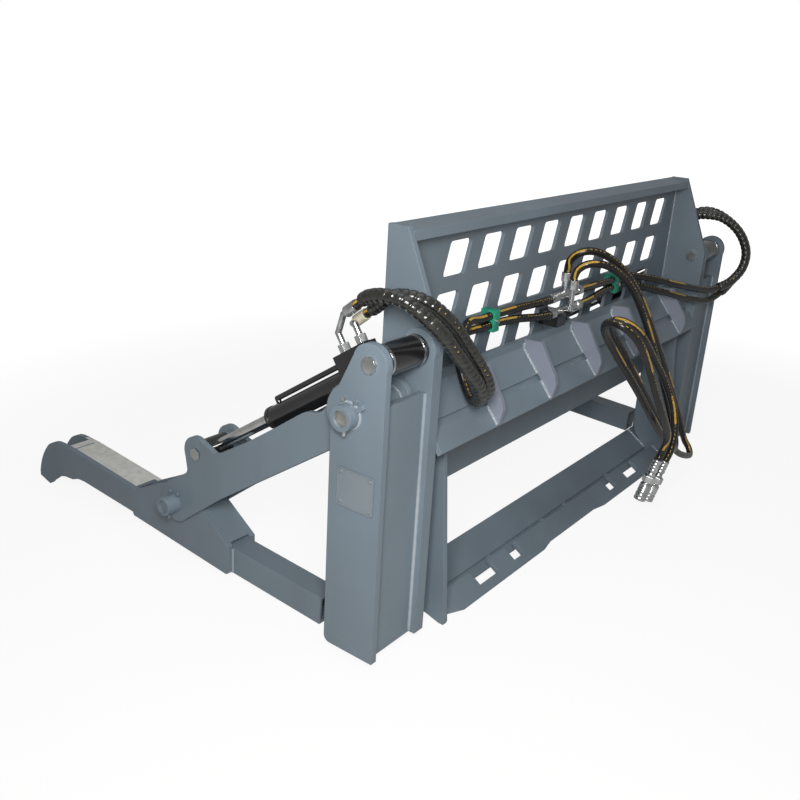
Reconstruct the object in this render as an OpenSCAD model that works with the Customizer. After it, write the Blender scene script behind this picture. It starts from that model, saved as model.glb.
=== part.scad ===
// Pallet fork grapple for a compact loader.
// X runs across the frame, Y points forward to the arms and feet, Z is up.
// The origin lies on the floor, under the middle of the bottom plate of the loader's coupling.

/* [Frame] */
// Width over the outer faces of the two arm columns
frame_w = 1600; // [1500:10:1700]
// Inner width of the coupling, between its two end plates
coupling_w = 1140; // [1100:5:1160]
// Thickness of the coupling's end plates
end_plate_t = 12; // [8:1:16]
// Height of the headboard above the floor
head_h = 812; // [790:1:840]
// Distance from the columns' rear edge to the headboard's front edge
head_d = 130; // [124:1:140]
// Thickness of the headboard's side plates
side_t = 13; // [10:1:15]
// Height of the columns' lower ends above the floor
column_lift = 16; // [10:1:25]

/* [Columns] */
// Width of one column over its two plates
column_w = 150; // [144:1:156]
// Depth of a column at its lower end
column_d = 120; // [112:1:124]
// Thickness of a column's plates
column_t = 15; // [12:1:17]
// Distance of the cylinder pin from the column's rear edge
base_pin_y = 36; // [34:1:40]
// Height of the cylinder pin
base_pin_z = 603; // [598:1:608]
// Radius of the ear around the cylinder pin
ear_r = 38; // [36:1:40]
// Distance of the arm's pivot from the column's rear edge
pivot_y = 76; // [74:1:78]
// Height of the arm's pivot
pivot_z = 501; // [498:1:504]
// Radius of the bump around the arm's pivot
pivot_ear_r = 54; // [50:1:56]
// Thickness of the recessed plate that joins the two column plates
back_plate_t = 12; // [8:1:14]

/* [Grille] */
// Thickness of the grille plate
grille_t = 8; // [6:1:10]
// Number of windows in a row
window_count = 9; // [5:1:9]
// Width of a window
window_w = 76; // [60:1:84]
// Distance from one window to the next
window_pitch = 122.5; // [120:0.5:124]
// Corner radius of a window
window_r = 9; // [4:1:12]

/* [Coupling] */
// Thickness of the lip and of the bottom plate
lip_t = 12; // [10:1:14]
// Angle of the lip's sloping face from the horizontal
lip_angle = 51; // [49:1:53]
// Number of gussets on the lip
gusset_count = 5; // [3:1:5]
// Thickness of a gusset
gusset_t = 12; // [8:1:16]
// Distance from one gusset to the next
gusset_pitch = 218; // [200:1:230]
// Angle of the bottom plate from the horizontal
bottom_angle = 33; // [32:1:34]
// Thickness of the bottom plate
bottom_t = 11; // [9:1:12]
// Width of a long slot in the bottom plate
long_slot_w = 76; // [60:1:80]
// Width of a short slot in the bottom plate
short_slot_w = 41; // [30:1:44]

/* [Arms] */
// Distance forward from the arm's pivot to the foot pin
arm_reach = 513; // [505:1:521]
// Distance down from the arm's pivot to the foot pin
arm_drop = 362; // [360:1:364]
// Distance forward from the arm's pivot to the rod pin
rod_pin_reach = 437; // [434:1:440]
// Distance down from the arm's pivot to the rod pin
rod_pin_drop = 221; // [218:1:224]
// Free width between an arm's two plates
arm_gap = 82; // [80:1:84]
// Thickness of an arm's plates
arm_t = 12; // [10:1:12]
// Radius of the arm around its pivot
arm_pivot_r = 44; // [42:1:46]
// Radius of the arm around the rod pin
arm_ear_r = 38; // [34:1:40]
// Radius of the arm around the foot pin
arm_end_r = 45; // [42:1:47]

/* [Feet] */
// Distance forward from the foot pin to the tip of the foot
foot_reach = 565; // [545:1:585]
// Distance back from the foot pin to the free end of the tube
tube_reach = 413; // [400:1:415]
// Width of a foot over its side plates
foot_w = 77; // [75:1:79]
// Thickness of a foot's side plates
foot_t = 12; // [10:1:13]
// Height of the foot's tube
tube_h = 62; // [56:1:64]
// Wall of the foot's tube
tube_wall = 5; // [3:1:8]
// Pitch of the tube from the horizontal
tube_angle = 3; // [2.5:0.1:3.5]

/* [Cylinders] */
// Outer diameter of the barrel
barrel_d = 44; // [40:1:46]
// Bore of the barrel
barrel_bore = 36; // [32:1:38]
// Distance from the cylinder pin to the gland's outer face
barrel_len = 364; // [350:1:372]
// Diameter of the rod
rod_d = 25; // [22:1:28]
// Diameter of the cross tube at the barrel's end
base_tube_d = 58; // [54:1:60]
// Length of the cross tube at the barrel's end
base_tube_len = 108; // [100:1:112]
// Outer diameter of the cross tube at the rod's end
rod_tube_d = 50; // [48:1:54]
// Length of the cross tube at the rod's end
rod_tube_len = 58; // [50:1:60]

/* [Pins] */
// Diameter of the pin in the arm's pivot
arm_pin_d = 30; // [28:1:32]
// Diameter of the pins in the cylinder's ends
cylinder_pin_d = 25; // [22:1:26]
// Diameter of the pin in the foot's hinge
foot_pin_d = 28; // [26:1:30]
// Outer diameter of the boss around the arm's pivot
boss_d = 48; // [44:1:52]
// Height of the boss above the column's plate
boss_h = 26; // [24:1:30]
// Radial clearance of a pin in its bore
pin_fit = 0.05; // [0.03:0.01:0.08]

/* [Hydraulics] */
// Outer diameter of a hose
hose_d = 18; // [16:1:19]
// Outer diameter of a spiral hose guard, over its ribs
guard_d = 25; // [25:0.5:26]
// Distance between two ribs of a hose guard
rib_pitch = 14; // [12:1:20]
// Outer diameter of a quick coupler
coupler_d = 31; // [30:1:34]

/* [Hidden] */
$fn = 64;

paint = [0.50, 0.54, 0.60];
gloss_black = [0.06, 0.06, 0.06];
zinc = [0.78, 0.80, 0.82];
steel = [0.66, 0.67, 0.68];
rubber = [0.10, 0.10, 0.09];
clamp_green = [0.10, 0.55, 0.42];

LEFT = -1;
RIGHT = 1;
// Steps in a rounded corner of an outline
arc_steps = 5;
// How far a cut runs past the face that it opens
overrun = 1;
// How much thicker a bent pipe is at its bends
bead = 0.4;
// Gap between faces that slide past each other
side_play = 0.5;
// Share of a circle's radius at which a straight edge meets it
touch_share = 0.985;

// Places across the frame
column_x = frame_w / 2 - column_w / 2;
column_gap = column_w - 2 * column_t;
side_x = frame_w / 2 - column_w - side_t;
end_x = coupling_w / 2;
arm_w = arm_gap + 2 * arm_t;

// Places of the pins in the side view
base_pin = [base_pin_y, base_pin_z];
pivot = [pivot_y, pivot_z];
foot_pin = [pivot_y + arm_reach, pivot_z - arm_drop];
rod_pin = [pivot_y + rod_pin_reach, pivot_z - rod_pin_drop];

// Columns
column_corner_r = 14;
ear_angle = 28;
pivot_ear_share = 0.85;
back_plate_inset = 14;
back_plate_top_z = 526;

// Headboard
side_notch_z = 616;
side_top_y = 85;
grille_front_y = 120;
grille_bottom_z = 405;
grille_top_drop = 12;
grille_top_z = head_h - grille_top_drop;
row_bottoms = [690, 594, 498];
row_heights = [71, 66, 75];
pattern_middle_z = 629;
pattern_shift = 13;
slant_share = 0.324;
rail_t = 8;
rail_rear_y = 80;
rail_strip_drop = 26;
rail_strip_z = head_h - rail_strip_drop;
rail_strip_lean = 3;
rail_rear_z = head_h - rail_t;
upper_rail_bottom_z = 250;
upper_rail_t = 20;

// Lip of the coupling
lip_top = [68, 505];
lip_band_h = 17;
lip_upper_len = 68;
lip_step_end = 82;
lip_len = 131;
lip_recess = 6;
lip_shelf_z = 488;
lower_plate_t = 6;
gusset_back_shares = [[-0.013, 0.654], [-0.73, 0.008], [-0.82, -0.15], [-0.747, -0.31]];
gusset_back_w = 60;
gusset_back_h = 110;
gusset_r = 8;
end_gusset_x = 517;
// The row of gussets starts two pitches left of the middle, and the last gusset stands by itself
gusset_places = concat([for (i = [0 : gusset_count - 2]) (i - 2) * gusset_pitch], [end_gusset_x]);

// Lower rail and bottom plate
lower_rail_front_y = 117;
lower_rail_top_z = 60;
lower_rail_rear_y = 57;
lower_rail_rear_z = 20;
lower_rail_bottom_z = 5;
lower_rail_t = 10;
lower_rail_drop = 3;
bottom_edge_y = -14;
bottom_run = 49;
slot_low_y = 5;
strip_rear_y = 30;
strip_low_z = 10;
strip_t = 5;
long_slot_x = 378;
short_slot_x = 250.5;
middle_half_w = 115;
step_half_w = 161;
middle_setback = 9;
end_plate_top_y = 21;
end_plate_top_z = 411;
end_plate_front_z = 96;
end_plate_low_y = 95;
end_plate_toe_y = 34;
chamfer_from_x = 505;
chamfer_rise = 29;
rib_x = 305.5;
middle_rib_x = 60;
rib_t = 12;

// Nameplate
plate_y = 15;
plate_z = 324;
nameplate_w = 82;
nameplate_h = 73;
nameplate_t = 1.5;
nameplate_r = 6;
rivet_d = 7;
rivet_h = 1.5;
rivet_inset = 7;

// Pins
pin_head_d = 30;
pin_head_h = 5;
arm_boss_tube_d = 50;
keeper_bolt_d = 9;
keeper_bolt_h = 5;
keeper_bar_w = 9;
keeper_bar_t = 8;
keeper_bar_len = 40;
keeper_gap_share = 0.7;
// Directions from a pin to its keeper bolts, and of the keeper bar's long side
keeper_way = [0.45, 0.893];
bar_way = [0.6, 0.8];
nipple_d = 7;
nipple_len = 11;
rod_bush_d = 48;
foot_boss_d = 42;
foot_boss_h = 34;
// Room that the rod's cross tube has around its pin while the arm swings
rod_tube_play = 5.2;

// Outlines of the arm, as shares of its reach and of its drop from the pivot
arm_top_shares = [[0.060, -0.150], [0.118, -0.075], [0.132, -0.012], [0.147, 0.032], [0.167, 0.066],
    [0.197, 0.087], [0.235, 0.094], [0.262, 0.113], [0.396, 0.250], [0.544, 0.397], [0.735, 0.564]];
arm_waist_shares = [[0.908, 0.754], [1.045, 0.876]];
arm_bottom_shares = [[0.715, 0.840], [0.125, 0.257]];
arm_corner_r = 16;
web_t = 10;
web_inset = 8;
web_from_share = 0.06;
web_to_share = 0.92;

// Outline of the foot, as shares of its reach and of the pin's height
foot_top_shares = [[0.1575, 1.043], [0.2867, 0.777], [0.7133, 0.928], [0.8, 0.943], [0.836, 0.938],
    [0.862, 0.918], [0.886, 0.877], [0.907, 0.826], [0.924, 0.76], [0.94, 0.685], [0.954, 0.606],
    [0.967, 0.524], [0.979, 0.43], [0.989, 0.329], [1.0, 0.18], [1.0, 0.08]];
foot_under_shares = [[0.9274, 0], [0.908, 0.072], [0.8407, 0.266], [0.8, 0.3165], [0.7398, 0.338],
    [0.699, 0.403], [0.6531, 0.417], [0.3115, 0.324], [0.3044, 0.266], [-0.262, 0.079],
    [-0.278, 0.122], [-0.278, 0.590]];
foot_boss_r = 42;
foot_bush_d = 63;
tube_into_foot = 70;
deck_t = 8;
deck_from_share = 0.05;
deck_to_share = 1.03;
cross_plate_shares = [[0.735, 0.928], [0.775, 0.934], [0.775, 0.75], [0.735, 0.75]];
cover_t = 8;
cover_from_share = 0.05;
cover_to_share = 0.8;
hook_web_shares = [[0.845, 0.74], [0.955, 0.30], [0.94, 0.26], [0.83, 0.70]];

// Cylinders
cylinder_run = rod_pin - base_pin;
cylinder_len = norm(cylinder_run);
cylinder_angle = atan2(cylinder_run[1], cylinder_run[0]);
barrel_back = 20;
barrel_ring_d = 60;
barrel_ring_w = 5;
gland_len = 26;
gland_cap = 8;
gland_d = 47;
piston_len = 24;
piston_fit = 0.05;
rod_into_tube = 3.5;

// Port block on the barrel, along the barrel and away from it
block_from = 58;
block_len = 84;
block_h = 26;
block_w = 34;
block_toe = 12;
port_stations = [62, 108];
nut_d = 23;
nut_h = 16;
elbow_d = 12;
collar_d = 22;
collar_len = 30;
pipe_d = 11;
pipe_lift = 31;
pipe_setback = 34;
pipe_end = barrel_len - pipe_setback;

// Hose clamps and tees on the grille
grille_rear_y = grille_front_y - grille_t;
clamp_w = 22;
clamp_h = 46;
clamp_front_y = 78;
clamp_places = [[-332, 582], [252, 571]];
clamp_pair = 20;
bolt_d = 10;
bolt_h = 6;
tee_y = 90;
tee_z = 584;
tee_from_x = -67;
tee_to_x = 43;
tee_branch_x = -14;
tee_branch_z = 618;
low_tee_y = 74;
low_tee_z = 556;
low_tee_from_x = -92;
low_tee_to_x = 16;
low_tee_branch_x = -44;
low_tee_branch_y = 56;
low_tee_branch_z = 610;
tee_d = 20;
tee_pipe_d = 13;
tee_nut_d = 25;
tee_nut_len = 20;
tee_block_w = 40;
tee_block_h = 34;
tee_block_x = -86;
tee_block_z = 540;

// Routes of the hoses, from the cylinders' elbows to the tees
left_hose_a = [[-700, 130, 654], [-701, 117, 664], [-702, 104, 674], [-710, 66, 700],
    [-704, 32, 706], [-681, 5, 694], [-653, -10, 670], [-625, -17, 643], [-595, -23, 607],
    [-559, -27, 567], [-534, -30, 535], [-513, -26, 507], [-496, -10, 482], [-484, 10, 482],
    [-480, 34, 514], [-470, 58, 552], [-454, 76, 586], [-424, 86, 597], [-390, 90, 593],
    [-368, 90, 592], [-355, 90, 592], [-343, 90, 592]];
left_hose_b = [[-738, 122, 679], [-740, 108, 689.5], [-742, 94, 700], [-746, 58, 710],
    [-739, 20, 707], [-718, -12, 682], [-691, -29, 653], [-664, -34, 624], [-636, -40, 592],
    [-606, -43, 560], [-579, -43, 534], [-556, -37, 505], [-538, -19, 484], [-524, 5, 478],
    [-514, 28, 500], [-506, 50, 534], [-488, 80, 558], [-448, 94, 570], [-400, 92, 573],
    [-368, 90, 572], [-355, 90, 572], [-343, 90, 572]];
left_run_a = [[-321, 90, 592], [-309, 90, 592], [-230, 90, 590], [-150, 90, 586], [-99, 90, 584],
    [-87, 90, 584]];
left_run_b = [[-321, 90, 572], [-309, 90, 572], [-240, 86, 568], [-170, 78, 560], [-124, 74, 556],
    [-112, 74, 556]];
right_run_a = [[63, 90, 584], [75, 90, 584], [120, 90, 583], [180, 90, 582], [229, 90, 581],
    [241, 90, 581]];
right_run_b = [[36, 74, 556], [48, 74, 556], [100, 78, 556], [170, 86, 559], [229, 90, 561],
    [241, 90, 561]];
right_hose_a = [[700, 130, 654], [701, 117, 664], [702, 104, 674], [712, 70, 702], [722, 38, 709],
    [742, 2, 704], [760, -34, 680], [770, -60, 646], [774, -74, 606], [766, -72, 564],
    [740, -56, 530], [694, -38, 515], [633, -26, 514], [560, -12, 529], [470, 10, 550],
    [390, 42, 571], [334, 74, 581], [300, 90, 581], [288, 90, 581], [275, 90, 581], [263, 90, 581]];
right_hose_b = [[738, 122, 679], [740, 108, 689.5], [742, 94, 700], [747, 66, 714], [756, 38, 715],
    [770, 8, 703], [788, -26, 676], [798, -52, 642], [802, -66, 602], [794, -64, 560],
    [768, -48, 524], [722, -38, 496], [648, -28, 482], [564, -12, 495], [472, 10, 520],
    [393, 42, 542], [336, 76, 558], [300, 90, 561], [288, 90, 561], [275, 90, 561], [263, 90, 561]];
guard_from = 1;
guard_to_left = 12;
guard_to_right = 11;
guard_fit = 1;
guard_rings = 4;
hose_rings = 2;
rib_depth = 1.5;

// Routes of the two supply hoses, from the tees to their couplers
supply_route_a = [[-14, 90, 638], [-14, 90, 646], [-20, 82, 670], [-20, 60, 690], [2, 34, 694],
    [46, 10, 674], [98, -12, 632], [168, -28, 562], [258, -40, 456], [382, -48, 316], [504, -54, 172],
    [562, -60, 88], [576, -76, 54], [540, -90, 48], [424, -92, 98], [306, -86, 196], [186, -74, 314],
    [92, -60, 412], [22, -50, 484], [-34, -50, 534], [-76, -68, 566], [-82, -104, 570],
    [-44, -126, 538], [26, -136, 470], [88, -150, 400], [114, -168, 336], [112, -182, 280],
    [102, -184, 234], [96, -178, 205]];
supply_route_b = [[-44, 56, 630], [-44, 56, 638], [-46, 46, 658], [-36, 26, 672], [-8, 2, 670],
    [30, -18, 650], [70, -38, 612], [128, -54, 538], [200, -70, 430], [270, -88, 310],
    [314, -106, 216], [300, -126, 170], [236, -140, 180], [150, -140, 244], [52, -134, 332],
    [-30, -126, 410], [-96, -112, 478], [-152, -102, 536], [-196, -104, 576], [-226, -124, 602],
    [-230, -160, 602], [-196, -182, 568], [-142, -188, 508], [-90, -194, 436], [-36, -198, 370],
    [18, -196, 314], [46, -190, 280], [56, -182, 251], [50, -176, 222]];
coupler_len = 66;
coupler_hex_len = 18;
coupler_neck_d = 20;
coupler_neck_len = 12;
coupler_sleeve_d = 29;
supply_collar_len = 32;

// A vector of length one
function unit(v) = v / norm(v);

// The points of a rounded corner at p, between its neighbours a and b
function corner(a, p, b, r) =
    let (
        u = unit(a - p),
        w = unit(b - p),
        half = acos(max(-0.99999, min(0.99999, u * w))) / 2,
        centre = p + unit(u + w) * r / sin(half),
        from = p + u * r / tan(half) - centre,
        to = p + w * r / tan(half) - centre,
        start = atan2(from[1], from[0]),
        turn = atan2(to[1], to[0]) - start,
        sweep = turn > 180 ? turn - 360 : turn < -180 ? turn + 360 : turn
    )
    [for (i = [0 : arc_steps]) centre + r * [cos(start + sweep * i / arc_steps),
        sin(start + sweep * i / arc_steps)]];

// An outline whose corners at the listed points are rounded by r
function rounded(points, r) =
    let (n = len(points))
    [for (i = [0 : n - 1]) each corner(points[(i + n - 1) % n], points[i], points[(i + 1) % n], r)];

// A point on the lip, some way down its slope and some depth below its face
function lip_point(along, depth) =
    lip_top + along * [-cos(lip_angle), -sin(lip_angle)] + depth * [sin(lip_angle), -cos(lip_angle)];

// A point on the arm, from shares of its reach and its drop
function arm_point(share) = pivot + [share[0] * arm_reach, -share[1] * arm_drop];

// A point on the foot, from shares of its reach and of the pin's height
function foot_point(share) = [foot_pin[0] + share[0] * foot_reach, share[1] * foot_pin[1]];

// A point on the line from a to b, set off to its left side
function beside(a, b, share, off) =
    let (u = unit(b - a))
    a + share * (b - a) + off * [-u[1], u[0]];

// Where a straight edge from point p touches a circle, on its left (1) or right (-1) side
function touch(centre, r, p, way) =
    let (
        v = p - centre,
        angle = atan2(v[1], v[0]) + way * acos(r / norm(v))
    )
    centre + touch_share * r * [cos(angle), sin(angle)];

// The points of an outline the other way round
function reversed(points) = [for (i = [len(points) - 1 : -1 : 0]) points[i]];

// A plate in the side view, from x over a thickness
module slab(x, t) {
    translate([x, 0, 0])
        rotate([90, 0, 90])
            linear_extrude(t)
                children();
}

// A round bar along X, centred on x
module cross_bar(x, place, d, length) {
    translate([x - length / 2, place[0], place[1]])
        rotate([0, 90, 0])
            cylinder(d = d, h = length);
}

// A six-sided bar along X, centred on x
module cross_hex(x, place, d, length) {
    translate([x - length / 2, place[0], place[1]])
        rotate([0, 90, 0])
            cylinder(d = d, h = length, $fn = 6);
}

// A round bar from point p to point q
module bar(p, q, d) {
    run = q - p;
    translate(p)
        rotate([0, acos(run[2] / norm(run)), atan2(run[1], run[0])])
            cylinder(d = d, h = norm(run));
}

// A six-sided bar from point p to point q
module hex_bar(p, q, d) {
    run = q - p;
    translate(p)
        rotate([0, acos(run[2] / norm(run)), atan2(run[1], run[0])])
            cylinder(d = d, h = norm(run), $fn = 6);
}

// A pipe through the points, with round bends
module bent_pipe(points, d) {
    for (i = [0 : len(points) - 2])
        bar(points[i], points[i + 1], d);
    for (i = [1 : len(points) - 2])
        translate(points[i])
            sphere(d = d + bead);
}

// The place in the cylinder's own line: along it from the base pin, and above it
function on_cylinder(along, above) =
    base_pin + along * [cos(cylinder_angle), sin(cylinder_angle)]
    + above * [-sin(cylinder_angle), cos(cylinder_angle)];

// Children drawn along +Y are laid along the cylinder of one side
module along_cylinder(side) {
    translate([side * column_x, base_pin[0], base_pin[1]])
        rotate([cylinder_angle, 0, 0])
            children();
}

// A round bar along the cylinder, from one station to the next
module station_bar(from, to, d) {
    translate([0, from, 0])
        rotate([-90, 0, 0])
            cylinder(d = d, h = to - from);
}

// Side view of a column's plate
module column_outline() {
    polygon(concat(
        [[0, column_lift]],
        corner([0, column_lift], [column_d, column_lift], [column_d, pivot_z], column_corner_r),
        [[column_d, pivot_z],
            pivot + pivot_ear_share * pivot_ear_r * [cos(ear_angle), sin(ear_angle)],
            base_pin + touch_share * ear_r * [cos(ear_angle), sin(ear_angle)],
            base_pin, [0, base_pin_z]]));
    translate(pivot)
        circle(r = pivot_ear_r);
    translate(base_pin)
        circle(r = ear_r);
}

// A column's plate with the bores of its two pins
module column_plate(x) {
    color(paint)
        difference() {
            slab(x, column_t)
                column_outline();
            cross_bar(x + column_t / 2, pivot, arm_pin_d + 2 * pin_fit, column_t + 2 * overrun);
            cross_bar(x + column_t / 2, base_pin, cylinder_pin_d + 2 * pin_fit,
                column_t + 2 * overrun);
        }
}

// The boss around the arm's pivot, welded to the outer plate
module column_boss(side) {
    color(paint)
        difference() {
            cross_bar(side * (frame_w + boss_h) / 2, pivot, boss_d, boss_h);
            cross_bar(side * (frame_w + boss_h) / 2, pivot, arm_pin_d + 2 * pin_fit,
                boss_h + 2 * overrun);
        }
}

module outer_plate(side) {
    column_plate(side * (frame_w - column_t) / 2 - column_t / 2);
    column_boss(side);
}

module inner_plate(side) {
    column_plate(side * (column_x - column_gap / 2 - column_t / 2) - column_t / 2);
}

// The recessed plate between a column's two plates, up to the arm's pivot
module back_plate(side) {
    color(paint)
        slab(side * column_x - column_gap / 2, column_gap)
            polygon([[back_plate_inset, column_lift],
                [back_plate_inset + back_plate_t, column_lift],
                [back_plate_inset + back_plate_t, back_plate_top_z],
                [back_plate_inset, back_plate_top_z]]);
}

// The headboard's side plate, which the cylinder pin passes through
module side_plate(side) {
    x = side * (side_x + side_t / 2) - side_t / 2;
    color(paint)
        difference() {
            slab(x, side_t)
                polygon([[0, column_lift], [head_d, column_lift], [head_d, head_h],
                    [side_top_y, head_h], [0, side_notch_z]]);
            cross_bar(x + side_t / 2, base_pin, cylinder_pin_d + 2 * pin_fit, side_t + 2 * overrun);
        }
}

// The folded rail along the headboard's top edge
module top_rail() {
    color(paint)
        slab(-side_x, 2 * side_x)
            polygon([[rail_rear_y - rail_strip_lean, rail_strip_z], [rail_rear_y, rail_rear_z],
                [head_d, head_h - overrun], [head_d, head_h - overrun - rail_t],
                [rail_rear_y + rail_t, rail_rear_z - rail_t],
                [rail_rear_y + rail_t - rail_strip_lean, rail_strip_z]]);
}

// One slanted window of the grille, from its lower edge up
module window(height) {
    lean = height * slant_share;
    polygon(rounded([[-window_w / 2 - lean / 2, 0], [window_w / 2 - lean / 2, 0],
        [window_w / 2 + lean / 2, height], [-window_w / 2 + lean / 2, height]], window_r));
}

// The plate behind the load, with three rows of slanted windows
module grille() {
    color(paint)
        translate([0, grille_front_y, 0])
            rotate([90, 0, 0])
                linear_extrude(grille_t)
                    difference() {
                        translate([-side_x, grille_bottom_z])
                            square([2 * side_x, grille_top_z - grille_bottom_z]);
                        for (row = [0 : len(row_bottoms) - 1], i = [0 : window_count - 1])
                            translate([(i - (window_count - 1) / 2) * window_pitch + pattern_shift
                                + (row_bottoms[row] + row_heights[row] / 2 - pattern_middle_z)
                                * slant_share, row_bottoms[row]])
                                window(row_heights[row]);
                    }
}

// The lip that hangs on the loader's plate, with a shelf to the headboard
module upper_lip() {
    color(paint)
        slab(-side_x, 2 * side_x)
            polygon([lip_top + [0, lip_band_h], lip_top, lip_point(lip_upper_len, 0),
                lip_point(lip_upper_len, lip_recess), lip_point(lip_len, lip_recess),
                lip_point(lip_len, lip_recess + lip_t / 2), lip_point(lip_upper_len, lip_t),
                [lip_top[0] + lip_t, lip_shelf_z - lip_t],
                [grille_rear_y, lip_shelf_z - lip_t], [grille_rear_y, lip_shelf_z],
                [lip_top[0] + lip_t, lip_shelf_z], [lip_top[0] + lip_t, lip_top[1] + lip_band_h]]);
}

// The lower strip of the lip, with short tabs at its upper edge
module lip_lower_plate() {
    tab_w = lip_t * 3;
    color(paint) {
        slab(-side_x, 2 * side_x)
            polygon([lip_point(lip_step_end, 0), lip_point(lip_len, 0),
                lip_point(lip_len, lower_plate_t), lip_point(lip_step_end, lower_plate_t)]);
        for (i = [0 : gusset_count - 2], s = [-1, 1])
            slab((i - (gusset_count - 2) / 2) * gusset_pitch + s * gusset_pitch / 4 - tab_w / 2,
                tab_w)
                polygon([lip_point(lip_step_end - lower_plate_t, lower_plate_t / 3),
                    lip_point(lip_step_end, lower_plate_t / 3),
                    lip_point(lip_step_end, lower_plate_t),
                    lip_point(lip_step_end - lower_plate_t, lower_plate_t)]);
    }
}

// The gussets that stand on the lip's face
module lip_gussets() {
    back = [for (s = gusset_back_shares)
        lip_point(lip_len / 2, 0) + [s[0] * gusset_back_w, s[1] * gusset_back_h]];
    color(paint)
        for (x = gusset_places)
            slab(x - gusset_t / 2, gusset_t)
                polygon(concat([lip_point(lip_len, 0), lip_top, lip_top + [0, lip_band_h]],
                    [for (k = [0 : len(back) - 1]) each corner(
                        k == 0 ? lip_top + [0, lip_band_h] : back[k - 1], back[k],
                        k == len(back) - 1 ? lip_point(lip_len, 0) : back[k + 1], gusset_r)]));
}

// The deep rail behind the lip
module upper_rail() {
    color(paint)
        slab(-side_x, 2 * side_x)
            polygon([[grille_front_y - upper_rail_t, upper_rail_bottom_z],
                [grille_front_y, upper_rail_bottom_z], [grille_front_y, grille_bottom_z],
                [grille_front_y - upper_rail_t, grille_bottom_z]]);
}

// The folded rail at the frame's foot
module lower_rail() {
    color(paint)
        slab(-side_x, 2 * side_x)
            polygon([[lower_rail_rear_y, lower_rail_bottom_z], [lower_rail_rear_y, lower_rail_rear_z],
                [lower_rail_front_y, lower_rail_top_z], [lower_rail_front_y, lower_rail_bottom_z],
                [lower_rail_front_y - lower_rail_t, lower_rail_bottom_z],
                [lower_rail_front_y - lower_rail_t, lower_rail_top_z - 2 * lower_rail_t],
                [lower_rail_rear_y + lower_rail_t, lower_rail_rear_z - lower_rail_drop],
                [lower_rail_rear_y + lower_rail_t, lower_rail_bottom_z]]);
}

bottom_slope = [cos(bottom_angle), sin(bottom_angle)];
bottom_normal = [sin(bottom_angle), -cos(bottom_angle)];
bottom_top = [bottom_edge_y, 0] + bottom_run / cos(bottom_angle) * bottom_slope;

// The sloping plate with the slots for the loader's locking pins
module bottom_plate() {
    foot = bottom_t / sin(bottom_angle);
    deep = 2 * (bottom_top[1] + bottom_t);
    color(paint) {
        difference() {
            slab(-end_x, 2 * end_x)
                polygon([[bottom_edge_y, 0], bottom_top, bottom_top + bottom_t * bottom_normal,
                    [bottom_edge_y + foot, 0]]);
            for (s = [-1, 1]) {
                translate([s * long_slot_x - long_slot_w / 2, slot_low_y, -bottom_t])
                    cube([long_slot_w, 2 * bottom_run, deep]);
                translate([s * short_slot_x - short_slot_w / 2, slot_low_y, -bottom_t])
                    cube([short_slot_w, 2 * bottom_run, deep]);
                translate([0, 0, -overrun])
                    linear_extrude(deep)
                        polygon([[s * chamfer_from_x, bottom_edge_y - overrun],
                            [s * (end_x + overrun), bottom_edge_y - overrun],
                            [s * (end_x + overrun), bottom_edge_y + chamfer_rise],
                            [s * chamfer_from_x, bottom_edge_y]]);
            }
            translate([0, 0, -overrun])
                linear_extrude(deep)
                    polygon([[-step_half_w, bottom_edge_y - overrun],
                        [step_half_w, bottom_edge_y - overrun], [step_half_w, bottom_edge_y],
                        [middle_half_w, bottom_edge_y + middle_setback],
                        [-middle_half_w, bottom_edge_y + middle_setback],
                        [-step_half_w, bottom_edge_y]]);
        }
        slab(-end_x, 2 * end_x)
            polygon([[strip_rear_y, strip_low_z], [strip_rear_y, strip_low_z + strip_t],
                [lower_rail_rear_y, strip_low_z + strip_t], [lower_rail_rear_y, strip_low_z]]);
        for (s = [-1, 1], x = [rib_x, middle_rib_x])
            slab(s * x - rib_t / 2, rib_t)
                polygon([[bottom_edge_y + foot, 0], bottom_top + bottom_t * bottom_normal,
                    [lower_rail_rear_y, lower_rail_rear_z], [lower_rail_rear_y, lower_rail_bottom_z],
                    [lower_rail_rear_y - rib_t, 0]]);
    }
}

// The plates at the coupling's two ends
module end_plates() {
    tip = [bottom_edge_y - overrun, end_plate_t / 2];
    color(paint)
        for (s = [-1, 1])
            slab(s * (end_x + end_plate_t / 2) - end_plate_t / 2, end_plate_t)
                polygon([tip, [end_plate_top_y, end_plate_top_z],
                    [grille_front_y - upper_rail_t, end_plate_top_z],
                    [grille_front_y - upper_rail_t, end_plate_front_z],
                    [end_plate_low_y, lower_rail_top_z],
                    [lower_rail_rear_y, lower_rail_rear_z], [lower_rail_rear_y, lower_rail_rear_z / 2],
                    [end_plate_toe_y, lower_rail_rear_z / 2],
                    [bottom_edge_y + foot_t, 0], [bottom_edge_y + overrun, 0]]);
}

// The blank plate riveted to the left column
module nameplate() {
    face = -frame_w / 2;
    color(steel) {
        slab(face - nameplate_t, nameplate_t)
            polygon(rounded([[plate_y, plate_z], [plate_y + nameplate_w, plate_z],
                [plate_y + nameplate_w, plate_z + nameplate_h], [plate_y, plate_z + nameplate_h]],
                nameplate_r));
        for (u = [rivet_inset, nameplate_w - rivet_inset], v = [rivet_inset, nameplate_h - rivet_inset])
            cross_bar(face - nameplate_t - rivet_h / 2, [plate_y + u, plate_z + v], rivet_d, rivet_h);
    }
}

// The pin of the arm's pivot, from the boss's mouth to the headboard's side plate
module arm_pin(side) {
    from = side_x + side_t;
    to = frame_w / 2 + boss_h - pin_head_h;
    color(steel)
        cross_bar(side * (from + to) / 2, pivot, arm_pin_d, to - from);
}

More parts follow.
